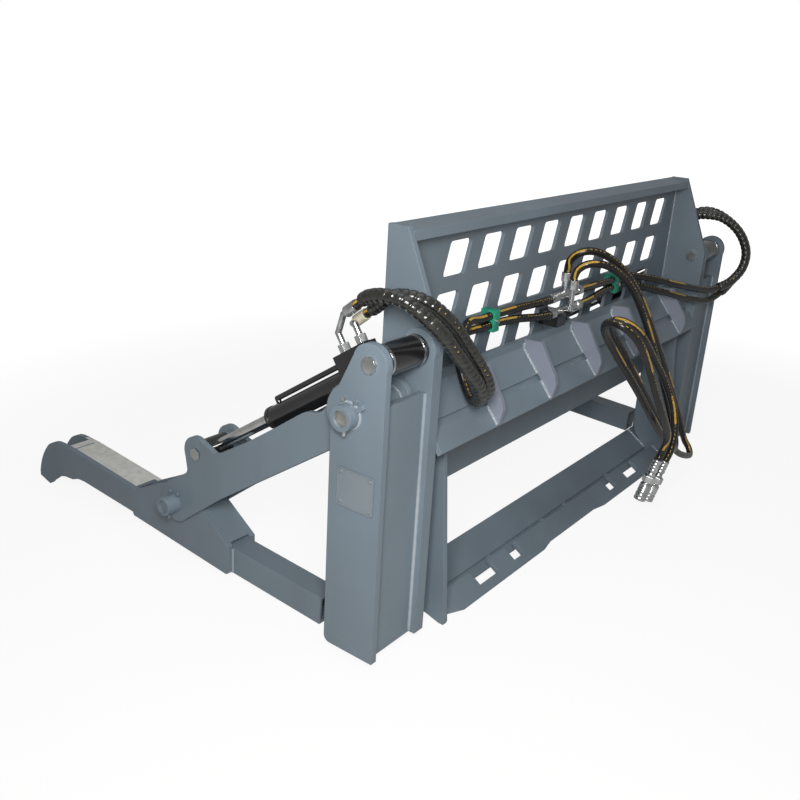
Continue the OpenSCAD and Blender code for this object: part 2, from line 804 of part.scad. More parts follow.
// The pin of the cylinder's base, with a round head at each end
module cylinder_pin(side) {
    from = side_x - pin_head_h;
    to = frame_w / 2 + pin_head_h;
    color(steel) {
        cross_bar(side * (from + to) / 2, base_pin, cylinder_pin_d, to - from);
        for (x = [from + pin_head_h / 2, to - pin_head_h / 2])
            cross_bar(side * x, base_pin, pin_head_d, pin_head_h);
    }
}

// What keeps the arm pins in: two bolts, a bar and a grease nipple on each column
module pin_keepers() {
    color(paint)
        for (side = [LEFT, RIGHT]) {
            face = side * frame_w / 2;
            for (s = [-1, 1])
                cross_hex(face + side * keeper_bolt_h / 2,
                    pivot + (boss_d / 2 + keeper_bolt_d * keeper_gap_share)
                    * [s * keeper_way[0], keeper_way[1]], keeper_bolt_d, keeper_bolt_h);
            slab(face + (side < 0 ? -keeper_bar_t : 0), keeper_bar_t)
                polygon([for (c = [[0, -1], [1, -1], [1, 1], [0, 1]])
                    pivot + (boss_d / 2 + c[0] * keeper_bar_len / 2) * [-bar_way[1], bar_way[0]]
                    + c[1] * keeper_bar_w / 2 * bar_way]);
            translate([face + side * boss_h / 2, pivot[0], pivot[1] - boss_d / 2 - nipple_len])
                cylinder(d = nipple_d, h = nipple_len);
        }
}

// Side view of an arm's plate
module arm_outline() {
    top = [for (s = arm_top_shares) arm_point(s)];
    waist = [for (s = arm_waist_shares) arm_point(s)];
    bottom = [for (s = arm_bottom_shares) arm_point(s)];
    last = len(top) - 1;
    pivot_top = touch(pivot, arm_pivot_r, top[0], 1);
    ear_top = touch(rod_pin, arm_ear_r, top[last], -1);
    ear_side = touch(rod_pin, arm_ear_r, waist[0], 1);
    polygon(reversed(concat([pivot_top],
        corner(pivot_top, top[0], top[1], arm_corner_r),
        part_of(top, 1, last - 1),
        corner(top[last - 1], top[last], ear_top, arm_corner_r),
        [ear_top, ear_side],
        corner(ear_side, waist[0], waist[1], arm_corner_r),
        [waist[1], touch(foot_pin, arm_end_r, waist[1], -1), touch(foot_pin, arm_end_r, bottom[0], 1),
            bottom[0], bottom[1], touch(pivot, arm_pivot_r, bottom[1], -1)])));
    translate(pivot)
        circle(r = arm_pivot_r);
    translate(rod_pin)
        circle(r = arm_ear_r);
    translate(foot_pin)
        circle(r = arm_end_r);
}

// An arm's plate with the bores of its three pins; way points outward from the arm's middle
module arm_plate(side, way) {
    x = side * column_x + way * (arm_gap + arm_t) / 2;
    color(paint)
        difference() {
            slab(x - arm_t / 2, arm_t)
                arm_outline();
            cross_bar(x, pivot, arm_boss_tube_d, arm_t + 2 * overrun);
            cross_bar(x, rod_pin, cylinder_pin_d + 2 * pin_fit, arm_t + 2 * overrun);
            cross_bar(x, foot_pin, foot_pin_d + 2 * pin_fit, arm_t + 2 * overrun);
        }
}

// What joins an arm's plates: the pivot tube, the bottom web and the bushes at the rod pin
module arm_web(side) {
    x = side * column_x;
    low = [for (s = arm_bottom_shares) arm_point(s)];
    bush = (arm_gap - rod_tube_len) / 2 - side_play;
    color(paint) {
        difference() {
            cross_bar(x, pivot, arm_boss_tube_d, column_gap - 2 * side_play);
            cross_bar(x, pivot, arm_pin_d + 2 * pin_fit, column_gap + 2 * overrun);
        }
        slab(x - arm_gap / 2, arm_gap)
            polygon([beside(low[1], low[0], web_from_share, web_inset),
                beside(low[1], low[0], web_to_share, web_inset),
                beside(low[1], low[0], web_to_share, web_inset + web_t),
                beside(low[1], low[0], web_from_share, web_inset + web_t)]);
        for (s = [-1, 1])
            difference() {
                cross_bar(x + s * (arm_gap - bush) / 2, rod_pin, rod_bush_d, bush);
                cross_bar(x + s * (arm_gap - bush) / 2, rod_pin, cylinder_pin_d + 2 * pin_fit,
                    bush + 2 * overrun);
            }
    }
}

// The pin at the rod's end, with hexagon ends
module rod_end_pin(side) {
    x = side * column_x;
    color(steel) {
        cross_bar(x, rod_pin, cylinder_pin_d, arm_w);
        for (s = [-1, 1])
            cross_hex(x + s * (arm_w + pin_head_h) / 2, rod_pin, pin_head_d, pin_head_h);
    }
}

// The foot's hinge pin, with a boss outside, two keeper bolts and a grease nipple
module foot_hinge_pin(side) {
    x = side * column_x;
    out = x + side * (arm_w + foot_boss_h) / 2;
    color(steel) {
        cross_bar(x + side * (foot_boss_h - pin_head_h) / 2, foot_pin, foot_pin_d,
            arm_w + foot_boss_h - pin_head_h);
        difference() {
            cross_bar(out, foot_pin, foot_boss_d, foot_boss_h);
            cross_bar(out, foot_pin, foot_pin_d + 2 * pin_fit, foot_boss_h + 2 * overrun);
        }
        for (s = [-1, 1])
            cross_hex(x + side * (arm_w + keeper_bolt_h) / 2,
                foot_pin + (foot_boss_d / 2 + keeper_bolt_d * keeper_gap_share)
                * [s * keeper_way[0], keeper_way[1]], keeper_bolt_d, keeper_bolt_h);
        translate([out, foot_pin[0], foot_pin[1] - foot_boss_d / 2 - nipple_len])
            cylinder(d = nipple_d, h = nipple_len);
    }
}

// Side view of a foot's plate
module foot_outline() {
    top = [for (s = foot_top_shares) foot_point(s)];
    under = [for (s = foot_under_shares) foot_point(s)];
    polygon(reversed(concat([touch(foot_pin, foot_boss_r, top[0], 1)], top, under,
        [touch(foot_pin, foot_boss_r, under[len(under) - 1], -1)])));
    translate(foot_pin)
        circle(r = foot_boss_r);
}

// A foot's side plate; way points outward from the foot's middle
module foot_plate(side, way) {
    x = side * column_x + way * (foot_w - foot_t) / 2;
    color(paint)
        difference() {
            slab(x - foot_t / 2, foot_t)
                foot_outline();
            cross_bar(x, foot_pin, foot_pin_d + 2 * pin_fit, foot_t + 2 * overrun);
        }
}

// The foot's rectangular tube, which rests its rear lower edge on the floor
module foot_tube(side) {
    width = foot_w - 2 * foot_t;
    length = tube_reach + foot_under_shares[9][0] * foot_reach + tube_into_foot;
    color(paint)
        translate([side * column_x - width / 2, foot_pin[0] - tube_reach, 0])
            rotate([tube_angle, 0, 0])
                difference() {
                    cube([width, length, tube_h]);
                    translate([tube_wall, -overrun, tube_wall])
                        cube([width - 2 * tube_wall, length + 2 * overrun, tube_h - 2 * tube_wall]);
                }
}

// The plates between a foot's side plates: deck, cross plate, heel cover, hook web and pin bush
module foot_deck(side) {
    width = foot_w - 2 * foot_t;
    x = side * column_x - width / 2;
    top = [for (s = foot_top_shares) foot_point(s)];
    heel = foot_point(foot_under_shares[len(foot_under_shares) - 1]);
    neck = touch(foot_pin, foot_boss_r, heel, -1);
    color(paint) {
        slab(x, width)
            polygon([beside(heel, neck, cover_from_share, 0), beside(heel, neck, cover_to_share, 0),
                beside(heel, neck, cover_to_share, -cover_t),
                beside(heel, neck, cover_from_share, -cover_t)]);
        slab(x, width)
            polygon([for (s = cross_plate_shares) foot_point(s)]);
        slab(x, width)
            polygon([beside(top[1], top[2], deck_from_share, 0),
                beside(top[1], top[2], deck_to_share, 0),
                beside(top[1], top[2], deck_to_share, -deck_t),
                beside(top[1], top[2], deck_from_share, -deck_t)]);
        slab(x, width)
            polygon([for (s = hook_web_shares) foot_point(s)]);
        difference() {
            cross_bar(side * column_x, foot_pin, foot_bush_d, width);
            cross_bar(side * column_x, foot_pin, foot_pin_d + 2 * pin_fit, width + 2 * overrun);
        }
    }
}

// The barrel with its cross tube
module barrel(side) {
    color(gloss_black)
        difference() {
            union() {
                along_cylinder(side)
                    station_bar(barrel_back, barrel_len - gland_cap, barrel_d);
                cross_bar(side * column_x, base_pin, base_tube_d, base_tube_len);
                for (s = [-1, 1])
                    cross_bar(side * column_x + s * (base_tube_len / 2 - 2 * barrel_ring_w), base_pin,
                        barrel_ring_d, barrel_ring_w);
            }
            cross_bar(side * column_x, base_pin, cylinder_pin_d + 2 * pin_fit,
                base_tube_len + 2 * overrun);
            along_cylinder(side)
                station_bar(base_tube_d / 2 + gland_cap, barrel_len + overrun, barrel_bore);
        }
}

// The gland that closes the barrel around the rod
module gland(side) {
    color(gloss_black)
        along_cylinder(side)
            difference() {
                union() {
                    station_bar(barrel_len - gland_cap - gland_len, barrel_len - gland_cap,
                        barrel_bore);
                    station_bar(barrel_len - gland_cap, barrel_len, gland_d);
                }
                station_bar(barrel_len - gland_cap - gland_len - overrun, barrel_len + overrun,
                    rod_d + 2 * piston_fit);
            }
}

// The places of an elbow: its foot on the block, its bend and its mouth
function elbow_points(side, i) =
    let (
        foot = on_cylinder(port_stations[i], barrel_d / 2 + block_h),
        knee = on_cylinder(port_stations[i], barrel_d / 2 + block_h + nut_h + collar_d),
        mouth = (i == 0) ? left_hose_a[0] : left_hose_b[0],
        next = (i == 0) ? left_hose_a[1] : left_hose_b[1],
        back = unit(mouth - next)
    )
    [[side * column_x, foot[0], foot[1]], [side * column_x, knee[0], knee[1]],
        [-side * mouth[0], mouth[1], mouth[2]] + (collar_len + elbow_d) * [-side * back[0], back[1], back[2]],
        [-side * mouth[0], mouth[1], mouth[2]] + collar_len * [-side * back[0], back[1], back[2]],
        [-side * mouth[0], mouth[1], mouth[2]]];

// The port block on the barrel, its pipe, and the two elbows with their nuts and collars
module port_fittings(side) {
    color(gloss_black)
        difference() {
            union() {
                along_cylinder(side)
                    translate([-block_w / 2, block_from - block_toe, 0])
                        cube([block_w, block_len, barrel_d / 2 + block_h]);
                bent_pipe([for (p = [[block_from + block_len - block_toe - overrun, pipe_lift],
                    [pipe_end, pipe_lift], [pipe_end, barrel_d / 2 - pipe_d / 2]])
                    let (q = on_cylinder(p[0], p[1])) [side * column_x, q[0], q[1]]], pipe_d);
            }
            along_cylinder(side)
                station_bar(0, barrel_len, barrel_d);
        }
    color(zinc)
        for (i = [0, 1]) {
            p = elbow_points(side, i);
            rise = unit(p[1] - p[0]);
            hex_bar(p[0], p[0] + nut_h * rise, nut_d);
            bent_pipe([p[0] + rise, p[1], p[2], (p[3] + p[4]) / 2], elbow_d);
            bar(p[3], p[4], collar_d);
        }
}

// The chromed rod with its piston and its cross tube
module rod(side) {
    color(steel) {
        difference() {
            union() {
                along_cylinder(side)
                    station_bar(barrel_len - gland_cap - gland_len - 2 * piston_len,
                        cylinder_len - rod_tube_d / 2 + rod_into_tube, rod_d);
                cross_bar(side * column_x, rod_pin, rod_tube_d, rod_tube_len);
            }
            cross_bar(side * column_x, rod_pin, cylinder_pin_d + 2 * rod_tube_play,
                rod_tube_len + 2 * overrun);
        }
        along_cylinder(side)
            station_bar(barrel_len - gland_cap - gland_len - 2 * piston_len,
                barrel_len - gland_cap - gland_len - piston_len, barrel_bore - 2 * piston_fit);
    }
}

// The two clamps that hold the hoses to the grille
module hose_clamps() {
    color(clamp_green)
        for (place = clamp_places)
            difference() {
                translate([place[0] - clamp_w / 2, clamp_front_y, place[1] - clamp_h / 2])
                    cube([clamp_w, grille_rear_y - clamp_front_y, clamp_h]);
                for (s = [-1, 1])
                    cross_bar(place[0], [tee_y, place[1] + s * clamp_pair / 2], hose_d,
                        clamp_w + 2 * overrun);
            }
    color(zinc)
        for (place = clamp_places)
            translate([place[0], clamp_front_y, place[1]])
                rotate([90, 0, 0])
                    cylinder(d = bolt_d, h = bolt_h, $fn = 6);
}

// The two tees that join the supply hoses to the cylinders' hoses, on a block
module hose_tees() {
    color(zinc) {
        bar([tee_from_x, tee_y, tee_z], [tee_to_x, tee_y, tee_z], tee_d);
        bar([tee_branch_x, tee_y, tee_z], [tee_branch_x, tee_y, tee_branch_z], tee_d);
        hex_bar([tee_from_x - tee_nut_len, tee_y, tee_z], [tee_from_x + overrun, tee_y, tee_z],
            tee_nut_d);
        hex_bar([tee_to_x - overrun, tee_y, tee_z], [tee_to_x + tee_nut_len, tee_y, tee_z],
            tee_nut_d);
        hex_bar([tee_branch_x, tee_y, tee_branch_z - overrun],
            [tee_branch_x, tee_y, tee_branch_z + tee_nut_len], tee_nut_d);
        bar([low_tee_from_x, low_tee_y, low_tee_z], [low_tee_to_x, low_tee_y, low_tee_z], tee_d);
        hex_bar([low_tee_from_x - tee_nut_len, low_tee_y, low_tee_z],
            [low_tee_from_x + overrun, low_tee_y, low_tee_z], tee_nut_d);
        hex_bar([low_tee_to_x - overrun, low_tee_y, low_tee_z],
            [low_tee_to_x + tee_nut_len, low_tee_y, low_tee_z], tee_nut_d);
        bent_pipe([[low_tee_branch_x, low_tee_y, low_tee_z],
            [low_tee_branch_x, low_tee_branch_y, low_tee_z],
            [low_tee_branch_x, low_tee_branch_y, low_tee_branch_z]], tee_pipe_d);
        hex_bar([low_tee_branch_x, low_tee_branch_y, low_tee_branch_z - overrun],
            [low_tee_branch_x, low_tee_branch_y, low_tee_branch_z + tee_nut_len], tee_nut_d);
    }
    color(gloss_black)
        translate([tee_block_x, low_tee_y - tee_d / 2, tee_block_z - tee_block_h / 2])
            cube([tee_block_w, grille_rear_y - low_tee_y + tee_d / 2, tee_block_h]);
}

// A point of a smooth curve through b and c, a share t of the way
function curve_point(a, b, c, d, t) =
    0.5 * ((2 * b) + (c - a) * t + (2 * a - 5 * b + 4 * c - d) * t * t
    + (3 * b - a - 3 * c + d) * t * t * t);

// A route smoothed through its points, with some rings to each stretch
function smooth(route, rings) =
    let (last = len(route) - 1)
    concat([for (i = [0 : last - 1], k = [0 : rings - 1])
        curve_point(route[max(0, i - 1)], route[i], route[i + 1], route[min(last, i + 2)], k / rings)],
        [route[last]]);

// The direction of a path at each of its points
function directions(path) =
    let (last = len(path) - 1)
    [for (i = [0 : last]) unit(path[min(last, i + 1)] - path[max(0, i - 1)])];

// A side direction at each point, carried along the path without twist
function sides_along(dirs, first, i = 0) =
    i == len(dirs) ? [] :
    let (n = unit(first - (first * dirs[i]) * dirs[i]))
    concat([n], sides_along(dirs, n, i + 1));

// The rings of a tube: one radius for each point of the path
function rings_along(path, radii, sides) =
    let (dirs = directions(path), across = sides_along(dirs, [0.31, 0.17, 0.93]))
    [for (i = [0 : len(path) - 1], k = [0 : sides - 1])
        path[i] + radii[i] * (cos(360 * k / sides) * across[i]
        + sin(360 * k / sides) * cross(dirs[i], across[i]))];

// The triangles between neighbouring rings, the other way round for a bore
function skin(count, sides, base, inward) =
    [for (i = [0 : count - 2], k = [0 : sides - 1])
        let (a = base + i * sides + k, b = base + i * sides + (k + 1) % sides, c = a + sides,
            d = b + sides)
        each inward ? [[a, b, c], [b, d, c]] : [[a, c, b], [b, c, d]]];

// A solid hose along a path
module hose(path, d, sides = 8) {
    n = len(path);
    polyhedron(rings_along(path, [for (p = path) d / 2], sides),
        concat(skin(n, sides, 0, false),
            [for (k = [1 : sides - 2]) [0, k, k + 1]],
            [for (k = [1 : sides - 2]) [(n - 1) * sides, (n - 1) * sides + k + 1, (n - 1) * sides + k]]));
}

// The length of a path, up to one of its points
function path_length(path, upto) =
    upto == 0 ? 0 : norm(path[upto] - path[upto - 1]) + path_length(path, upto - 1);

// The point of a path at a given distance from its start
function point_at(path, distance, i = 1) =
    let (step = norm(path[i] - path[i - 1]))
    distance <= step || i == len(path) - 1
    ? path[i - 1] + (path[i] - path[i - 1]) * distance / step
    : point_at(path, distance - step, i + 1);

// A guard with a bore and a rib at every rib pitch, between straight ends
module ribbed_guard(route, from, to, sides = 8) {
    curve = part_of(smooth(route, guard_rings), guard_rings * from, guard_rings * to);
    length = path_length(curve, len(curve) - 1);
    plain = guard_d;
    ribs = floor((length - 2 * plain) / rib_pitch);
    outer_at = concat([0], [for (i = [0 : ribs - 1], h = [0, 0.5]) plain + (i + h) * rib_pitch],
        [length]);
    outer = [for (s = outer_at) point_at(curve, s)];
    outer_r = concat([guard_d / 2 - rib_depth],
        [for (i = [0 : ribs - 1], h = [0, 1]) guard_d / 2 - (1 - h) * rib_depth],
        [guard_d / 2 - rib_depth]);
    inner = part_of(smooth(route, hose_rings), hose_rings * from, hose_rings * to);
    m = len(outer);
    n = len(inner);
    polyhedron(
        concat(rings_along(outer, outer_r, sides),
            rings_along(inner, [for (p = inner) hose_d / 2 + guard_fit], sides)),
        concat(skin(m, sides, 0, false), skin(n, sides, m * sides, true),
            [for (k = [0 : sides - 1]) let (j = (k + 1) % sides)
                each [[k, j, m * sides + k], [j, m * sides + j, m * sides + k]]],
            [for (k = [0 : sides - 1]) let (j = (k + 1) % sides, e = (m - 1) * sides,
                f = (m + n - 1) * sides)
                each [[e + k, f + k, e + j], [e + j, f + k, f + j]]]));
}

// Part of a route
function part_of(route, from, to) = [for (i = [from : to]) route[i]];

module left_hoses() {
    color(rubber) {
        hose(smooth(left_hose_a, hose_rings), hose_d);
        hose(smooth(left_hose_b, hose_rings), hose_d);
        hose(left_run_a, hose_d);
        hose(left_run_b, hose_d);
    }
}

module right_hoses() {
    color(rubber) {
        hose(smooth(right_hose_a, hose_rings), hose_d);
        hose(smooth(right_hose_b, hose_rings), hose_d);
        hose(right_run_a, hose_d);
        hose(right_run_b, hose_d);
    }
}

module left_hose_guards() {
    color(rubber) {
        ribbed_guard(left_hose_a, guard_from, guard_to_left);
        ribbed_guard(left_hose_b, guard_from, guard_to_left);
    }
}

module right_hose_guards() {
    color(rubber) {
        ribbed_guard(right_hose_a, guard_from, guard_to_right);
        ribbed_guard(right_hose_b, guard_from, guard_to_right);
    }
}

// A flat-face quick coupler at the end of a supply hose
module coupler(route) {
    last = len(route) - 1;
    way = unit(route[last] - route[last - 1]);
    start = route[last];
    neck = start + supply_collar_len * way;
    hex = neck + coupler_neck_len * way;
    sleeve = hex + coupler_hex_len * way;
    end = hex + coupler_len * way;
    color(zinc) {
        bar(start, neck, collar_d);
        bar(neck - overrun * way, hex + overrun * way, coupler_neck_d);
        hex_bar(hex, sleeve, coupler_d);
        bar(sleeve - overrun * way, end, coupler_sleeve_d);
    }
}

outer_plate(LEFT);  // left_column_outer_plate
inner_plate(LEFT);  // left_column_inner_plate
back_plate(LEFT);  // left_column_back_plate
outer_plate(RIGHT);  // right_column_outer_plate
inner_plate(RIGHT);  // right_column_inner_plate
back_plate(RIGHT);  // right_column_back_plate
side_plate(LEFT);  // left_side_plate
side_plate(RIGHT);  // right_side_plate
top_rail();
grille();
upper_lip();
lip_lower_plate();
lip_gussets();
upper_rail();
lower_rail();
bottom_plate();
end_plates();
nameplate();
arm_pin(LEFT);  // left_arm_pin
arm_pin(RIGHT);  // right_arm_pin
cylinder_pin(LEFT);  // left_cylinder_pin
cylinder_pin(RIGHT);  // right_cylinder_pin
pin_keepers();
arm_plate(LEFT, -1);  // left_arm_outer_plate
arm_plate(LEFT, 1);  // left_arm_inner_plate
arm_web(LEFT);  // left_arm_web
rod_end_pin(LEFT);  // left_rod_pin
foot_hinge_pin(LEFT);  // left_foot_pin
arm_plate(RIGHT, 1);  // right_arm_outer_plate
arm_plate(RIGHT, -1);  // right_arm_inner_plate
arm_web(RIGHT);  // right_arm_web
rod_end_pin(RIGHT);  // right_rod_pin
foot_hinge_pin(RIGHT);  // right_foot_pin
foot_plate(LEFT, -1);  // left_foot_outer_plate
foot_plate(LEFT, 1);  // left_foot_inner_plate
foot_tube(LEFT);  // left_foot_tube
foot_deck(LEFT);  // left_foot_deck
foot_plate(RIGHT, 1);  // right_foot_outer_plate
foot_plate(RIGHT, -1);  // right_foot_inner_plate
foot_tube(RIGHT);  // right_foot_tube
foot_deck(RIGHT);  // right_foot_deck
barrel(LEFT);  // left_barrel
gland(LEFT);  // left_gland
port_fittings(LEFT);  // left_port_fittings
barrel(RIGHT);  // right_barrel
gland(RIGHT);  // right_gland
port_fittings(RIGHT);  // right_port_fittings
rod(LEFT);  // left_rod
rod(RIGHT);  // right_rod
hose_clamps();
hose_tees();
left_hoses();
left_hose_guards();
right_hoses();
right_hose_guards();
color(rubber) hose(smooth(supply_route_a, 1), hose_d);  // supply_hose_a
color(rubber) hose(smooth(supply_route_b, 1), hose_d);  // supply_hose_b
coupler(supply_route_a);  // coupler_a
coupler(supply_route_b);  // coupler_b
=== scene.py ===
"""Looks of a pallet fork grapple for a compact loader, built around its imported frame.

X runs across the frame, Y points forward to the arms and feet, Z is up, and lengths are in metres.
"""

from __future__ import annotations

import logging
import math
from dataclasses import dataclass, field
from enum import Enum
from typing import Callable, Sequence

import bpy
from mathutils import Matrix, Vector

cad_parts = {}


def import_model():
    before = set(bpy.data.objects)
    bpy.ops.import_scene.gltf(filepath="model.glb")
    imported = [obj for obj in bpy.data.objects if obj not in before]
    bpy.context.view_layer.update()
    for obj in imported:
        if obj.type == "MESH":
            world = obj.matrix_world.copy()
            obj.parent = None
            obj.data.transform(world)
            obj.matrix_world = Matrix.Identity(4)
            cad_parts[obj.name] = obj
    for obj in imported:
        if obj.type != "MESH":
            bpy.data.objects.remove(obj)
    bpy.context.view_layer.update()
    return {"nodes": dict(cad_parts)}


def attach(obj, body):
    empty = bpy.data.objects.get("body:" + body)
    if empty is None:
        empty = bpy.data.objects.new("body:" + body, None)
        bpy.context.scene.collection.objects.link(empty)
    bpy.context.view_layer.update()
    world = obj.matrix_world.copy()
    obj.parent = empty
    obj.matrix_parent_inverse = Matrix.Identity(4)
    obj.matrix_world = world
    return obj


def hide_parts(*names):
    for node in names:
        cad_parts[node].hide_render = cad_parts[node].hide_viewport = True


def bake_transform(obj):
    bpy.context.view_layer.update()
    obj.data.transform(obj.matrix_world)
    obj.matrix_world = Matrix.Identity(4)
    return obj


LOG = logging.getLogger("grapple")
MM = 0.001
WHITE = (1.0, 1.0, 1.0, 1.0)
PRINT_SIDE = Vector((-0.55, -0.45, 0.70))
COLUMN_X = 0.725
PIVOT = (0.076, 0.501)
ROD_PIN = (0.513, 0.280)

Colour = tuple[float, float, float]
Points = Sequence[tuple[float, float, float]]
Profile = list[tuple[float, float]]


class Side(Enum):
    """The two sides of the frame, with the sign of their x."""

    LEFT = -1
    RIGHT = 1

    @property
    def word(self) -> str:
        """The side's name, as the nodes and bodies begin."""
        return self.name.lower()


# Shader maths


class Link:
    """An output of a node, whose sums and products add Math nodes."""

    def __init__(self, nodes: "Nodes", socket: bpy.types.NodeSocket) -> None:
        """Keeps the nodes and the socket."""
        self.nodes = nodes
        self.socket = socket

    def _math(self, operation: str, first: "Link | float", second: "Link | float") -> "Link":
        """Returns the output of a new Math node with the operation and its two operands."""
        return self.nodes.add("ShaderNodeMath", {"operation": operation}, {0: first, 1: second})

    def __add__(self, other: "Link | float") -> "Link":
        """Returns the sum."""
        return self._math("ADD", self, other)

    __radd__ = __add__

    def __sub__(self, other: "Link | float") -> "Link":
        """Returns the difference."""
        return self._math("SUBTRACT", self, other)

    def __rsub__(self, other: "Link | float") -> "Link":
        """Returns the difference from the other."""
        return self._math("SUBTRACT", other, self)

    def __mul__(self, other: "Link | float") -> "Link":
        """Returns the product."""
        return self._math("MULTIPLY", self, other)

    __rmul__ = __mul__

    def __lt__(self, other: "Link | float") -> "Link":
        """Returns 1 where this is less than the other, or else 0."""
        return self._math("LESS_THAN", self, other)

    def __gt__(self, other: "Link | float") -> "Link":
        """Returns 1 where this is more than the other, or else 0."""
        return self._math("GREATER_THAN", self, other)

    def __mod__(self, other: float) -> "Link":
        """Returns the positive remainder."""
        return self._math("FLOORED_MODULO", self, other)

    def __abs__(self) -> "Link":
        """Returns the size without its sign."""
        return self._math("ABSOLUTE", self, 0.0)

    def most(self, other: "Link | float") -> "Link":
        """Returns the larger one."""
        return self._math("MAXIMUM", self, other)

    def between(self, low: float, high: float) -> "Link":
        """Rises smoothly from 0 at low to 1 at high.

        Args:
            low: Where the rise starts.
            high: Where it ends.

        Returns:
            The share, kept from 0 to 1.
        """
        return self.nodes.add(
            "ShaderNodeMapRange",
            {"interpolation_type": "SMOOTHSTEP"},
            {"Value": self, "From Min": low, "From Max": high},
        )


class Nodes:
    """The node tree of a material or a world."""

    def __init__(self, owner: bpy.types.Material | bpy.types.World) -> None:
        """Empties the tree.

        Args:
            owner: The material or the world.
        """
        self.owner = owner
        owner.use_nodes = True
        self.tree = owner.node_tree
        self.tree.nodes.clear()

    def show(self, surface: bpy.types.NodeSocket) -> None:
        """Feeds the surface of a new output.

        Args:
            surface: What feeds it.
        """
        kind = "World" if isinstance(self.owner, bpy.types.World) else "Material"
        output = self.tree.nodes.new(f"ShaderNodeOutput{kind}")
        self.tree.links.new(surface, output.inputs["Surface"])

    def add(
        self,
        kind: str,
        settings: dict[str, object] | None = None,
        sockets: dict[str | int, object] | None = None,
        out: str | int = 0,
    ) -> Link:
        """Adds a node.

        Args:
            kind: The node's type.
            settings: Its own settings, which are set first.
            sockets: Values or links of its inputs.
            out: The output wanted.

        Returns:
            That output.
        """
        node = self.tree.nodes.new(kind)
        for key, value in (settings or {}).items():
            setattr(node, key, value)
        for key, value in (sockets or {}).items():
            if isinstance(value, Link):
                self.tree.links.new(value.socket, node.inputs[key])
            else:
                node.inputs[key].default_value = value
        return Link(self, node.outputs[out])

    def mixed(self, share: Link, first: Link, second: Link) -> None:
        """Shows two shaders mixed, with a share of the second."""
        mix = self.add("ShaderNodeMixShader", None, {0: share, 1: first, 2: second})
        self.show(mix.socket)


class Shader(Nodes):
    """The nodes of one finish."""

    def __init__(self, name: str) -> None:
        """Starts an empty material with a Principled shader.

        Args:
            name: The material's name.
        """
        super().__init__(bpy.data.materials.new(name))
        self.skin = self.tree.nodes.new("ShaderNodeBsdfPrincipled")
        self.show(self.skin.outputs[0])

    def place(self) -> Link:
        """Returns the place on the object, in its own metres."""
        return self.add("ShaderNodeTexCoord", out="Object")

    def stretched(self, scale: tuple[float, float, float]) -> Link:
        """Returns the place with each direction scaled."""
        return self.add("ShaderNodeMapping", None, {"Vector": self.place(), "Scale": scale})

    def noise(self, scale: float, detail: float = 2.0, vector: Link | None = None) -> Link:
        """Adds smooth noise from 0 to 1.

        Args:
            scale: Features per metre.
            detail: How many finer layers it has.
            vector: The place it follows, or the object's own.

        Returns:
            The noise.
        """
        return self.add(
            "ShaderNodeTexNoise",
            None,
            {"Vector": vector or self.place(), "Scale": scale, "Detail": detail},
        )

    def blend(self, share: Link | float, first: object, second: object) -> Link:
        """Mixes two colours.

        Args:
            share: How much of the second.
            first: A colour or a link.
            second: A colour or a link.

        Returns:
            The mixed colour.
        """
        opaque = [c if isinstance(c, Link) else (*c, 1.0) for c in (first, second)]
        return self.add(
            "ShaderNodeMix", {"data_type": "RGBA"}, {0: share, 6: opaque[0], 7: opaque[1]}, out=2
        )

    def soft_edges(self, radius: float) -> tuple[Link, Link]:
        """Rounds the look of sharp edges.

        Args:
            radius: The round's radius.

        Returns:
            The rounded normal, and how near the surface is to an edge, from 0 to 1; the finishes
            paint a highlight along edges with this share.
        """
        normal = self.add("ShaderNodeBevel", {"samples": 4}, {"Radius": radius})
        flat = self.add("ShaderNodeNewGeometry", out="Normal")
        dot = {"operation": "DOT_PRODUCT"}
        same = self.add("ShaderNodeVectorMath", dot, {0: normal, 1: flat}, "Value")
        return normal, (1.0 - same).between(0.01, 0.22)

    def bump(self, height: Link, depth: float, normal: Link | None = None) -> Link:
        """Turns a height into a normal.

        Args:
            height: The height, from 0 to 1.
            depth: Its real depth.
            normal: The normal that it starts from.

        Returns:
            The new normal.
        """
        sockets: dict[str | int, object] = {"Height": height, "Distance": depth, "Strength": 1.0}
        if normal is not None:
            sockets["Normal"] = normal
        return self.add("ShaderNodeBump", None, sockets)

    def close(self, **sockets: object) -> bpy.types.Material:
        """Feeds the Principled shader.

        Args:
            **sockets: Its inputs, with underscores for spaces.

        Returns:
            The material.
        """
        for key, value in sockets.items():
            socket = self.skin.inputs[key.replace("_", " ")]
            if isinstance(value, Link):
                self.tree.links.new(value.socket, socket)
            elif isinstance(value, tuple):
                socket.default_value = (*value, 1.0)
            else:
                socket.default_value = value
        return self.owner

    def stored(self, name: str) -> Link:
        """Returns a value that the mesh stores."""
        return self.add("ShaderNodeAttribute", {"attribute_name": name}, out="Fac")


# Finishes


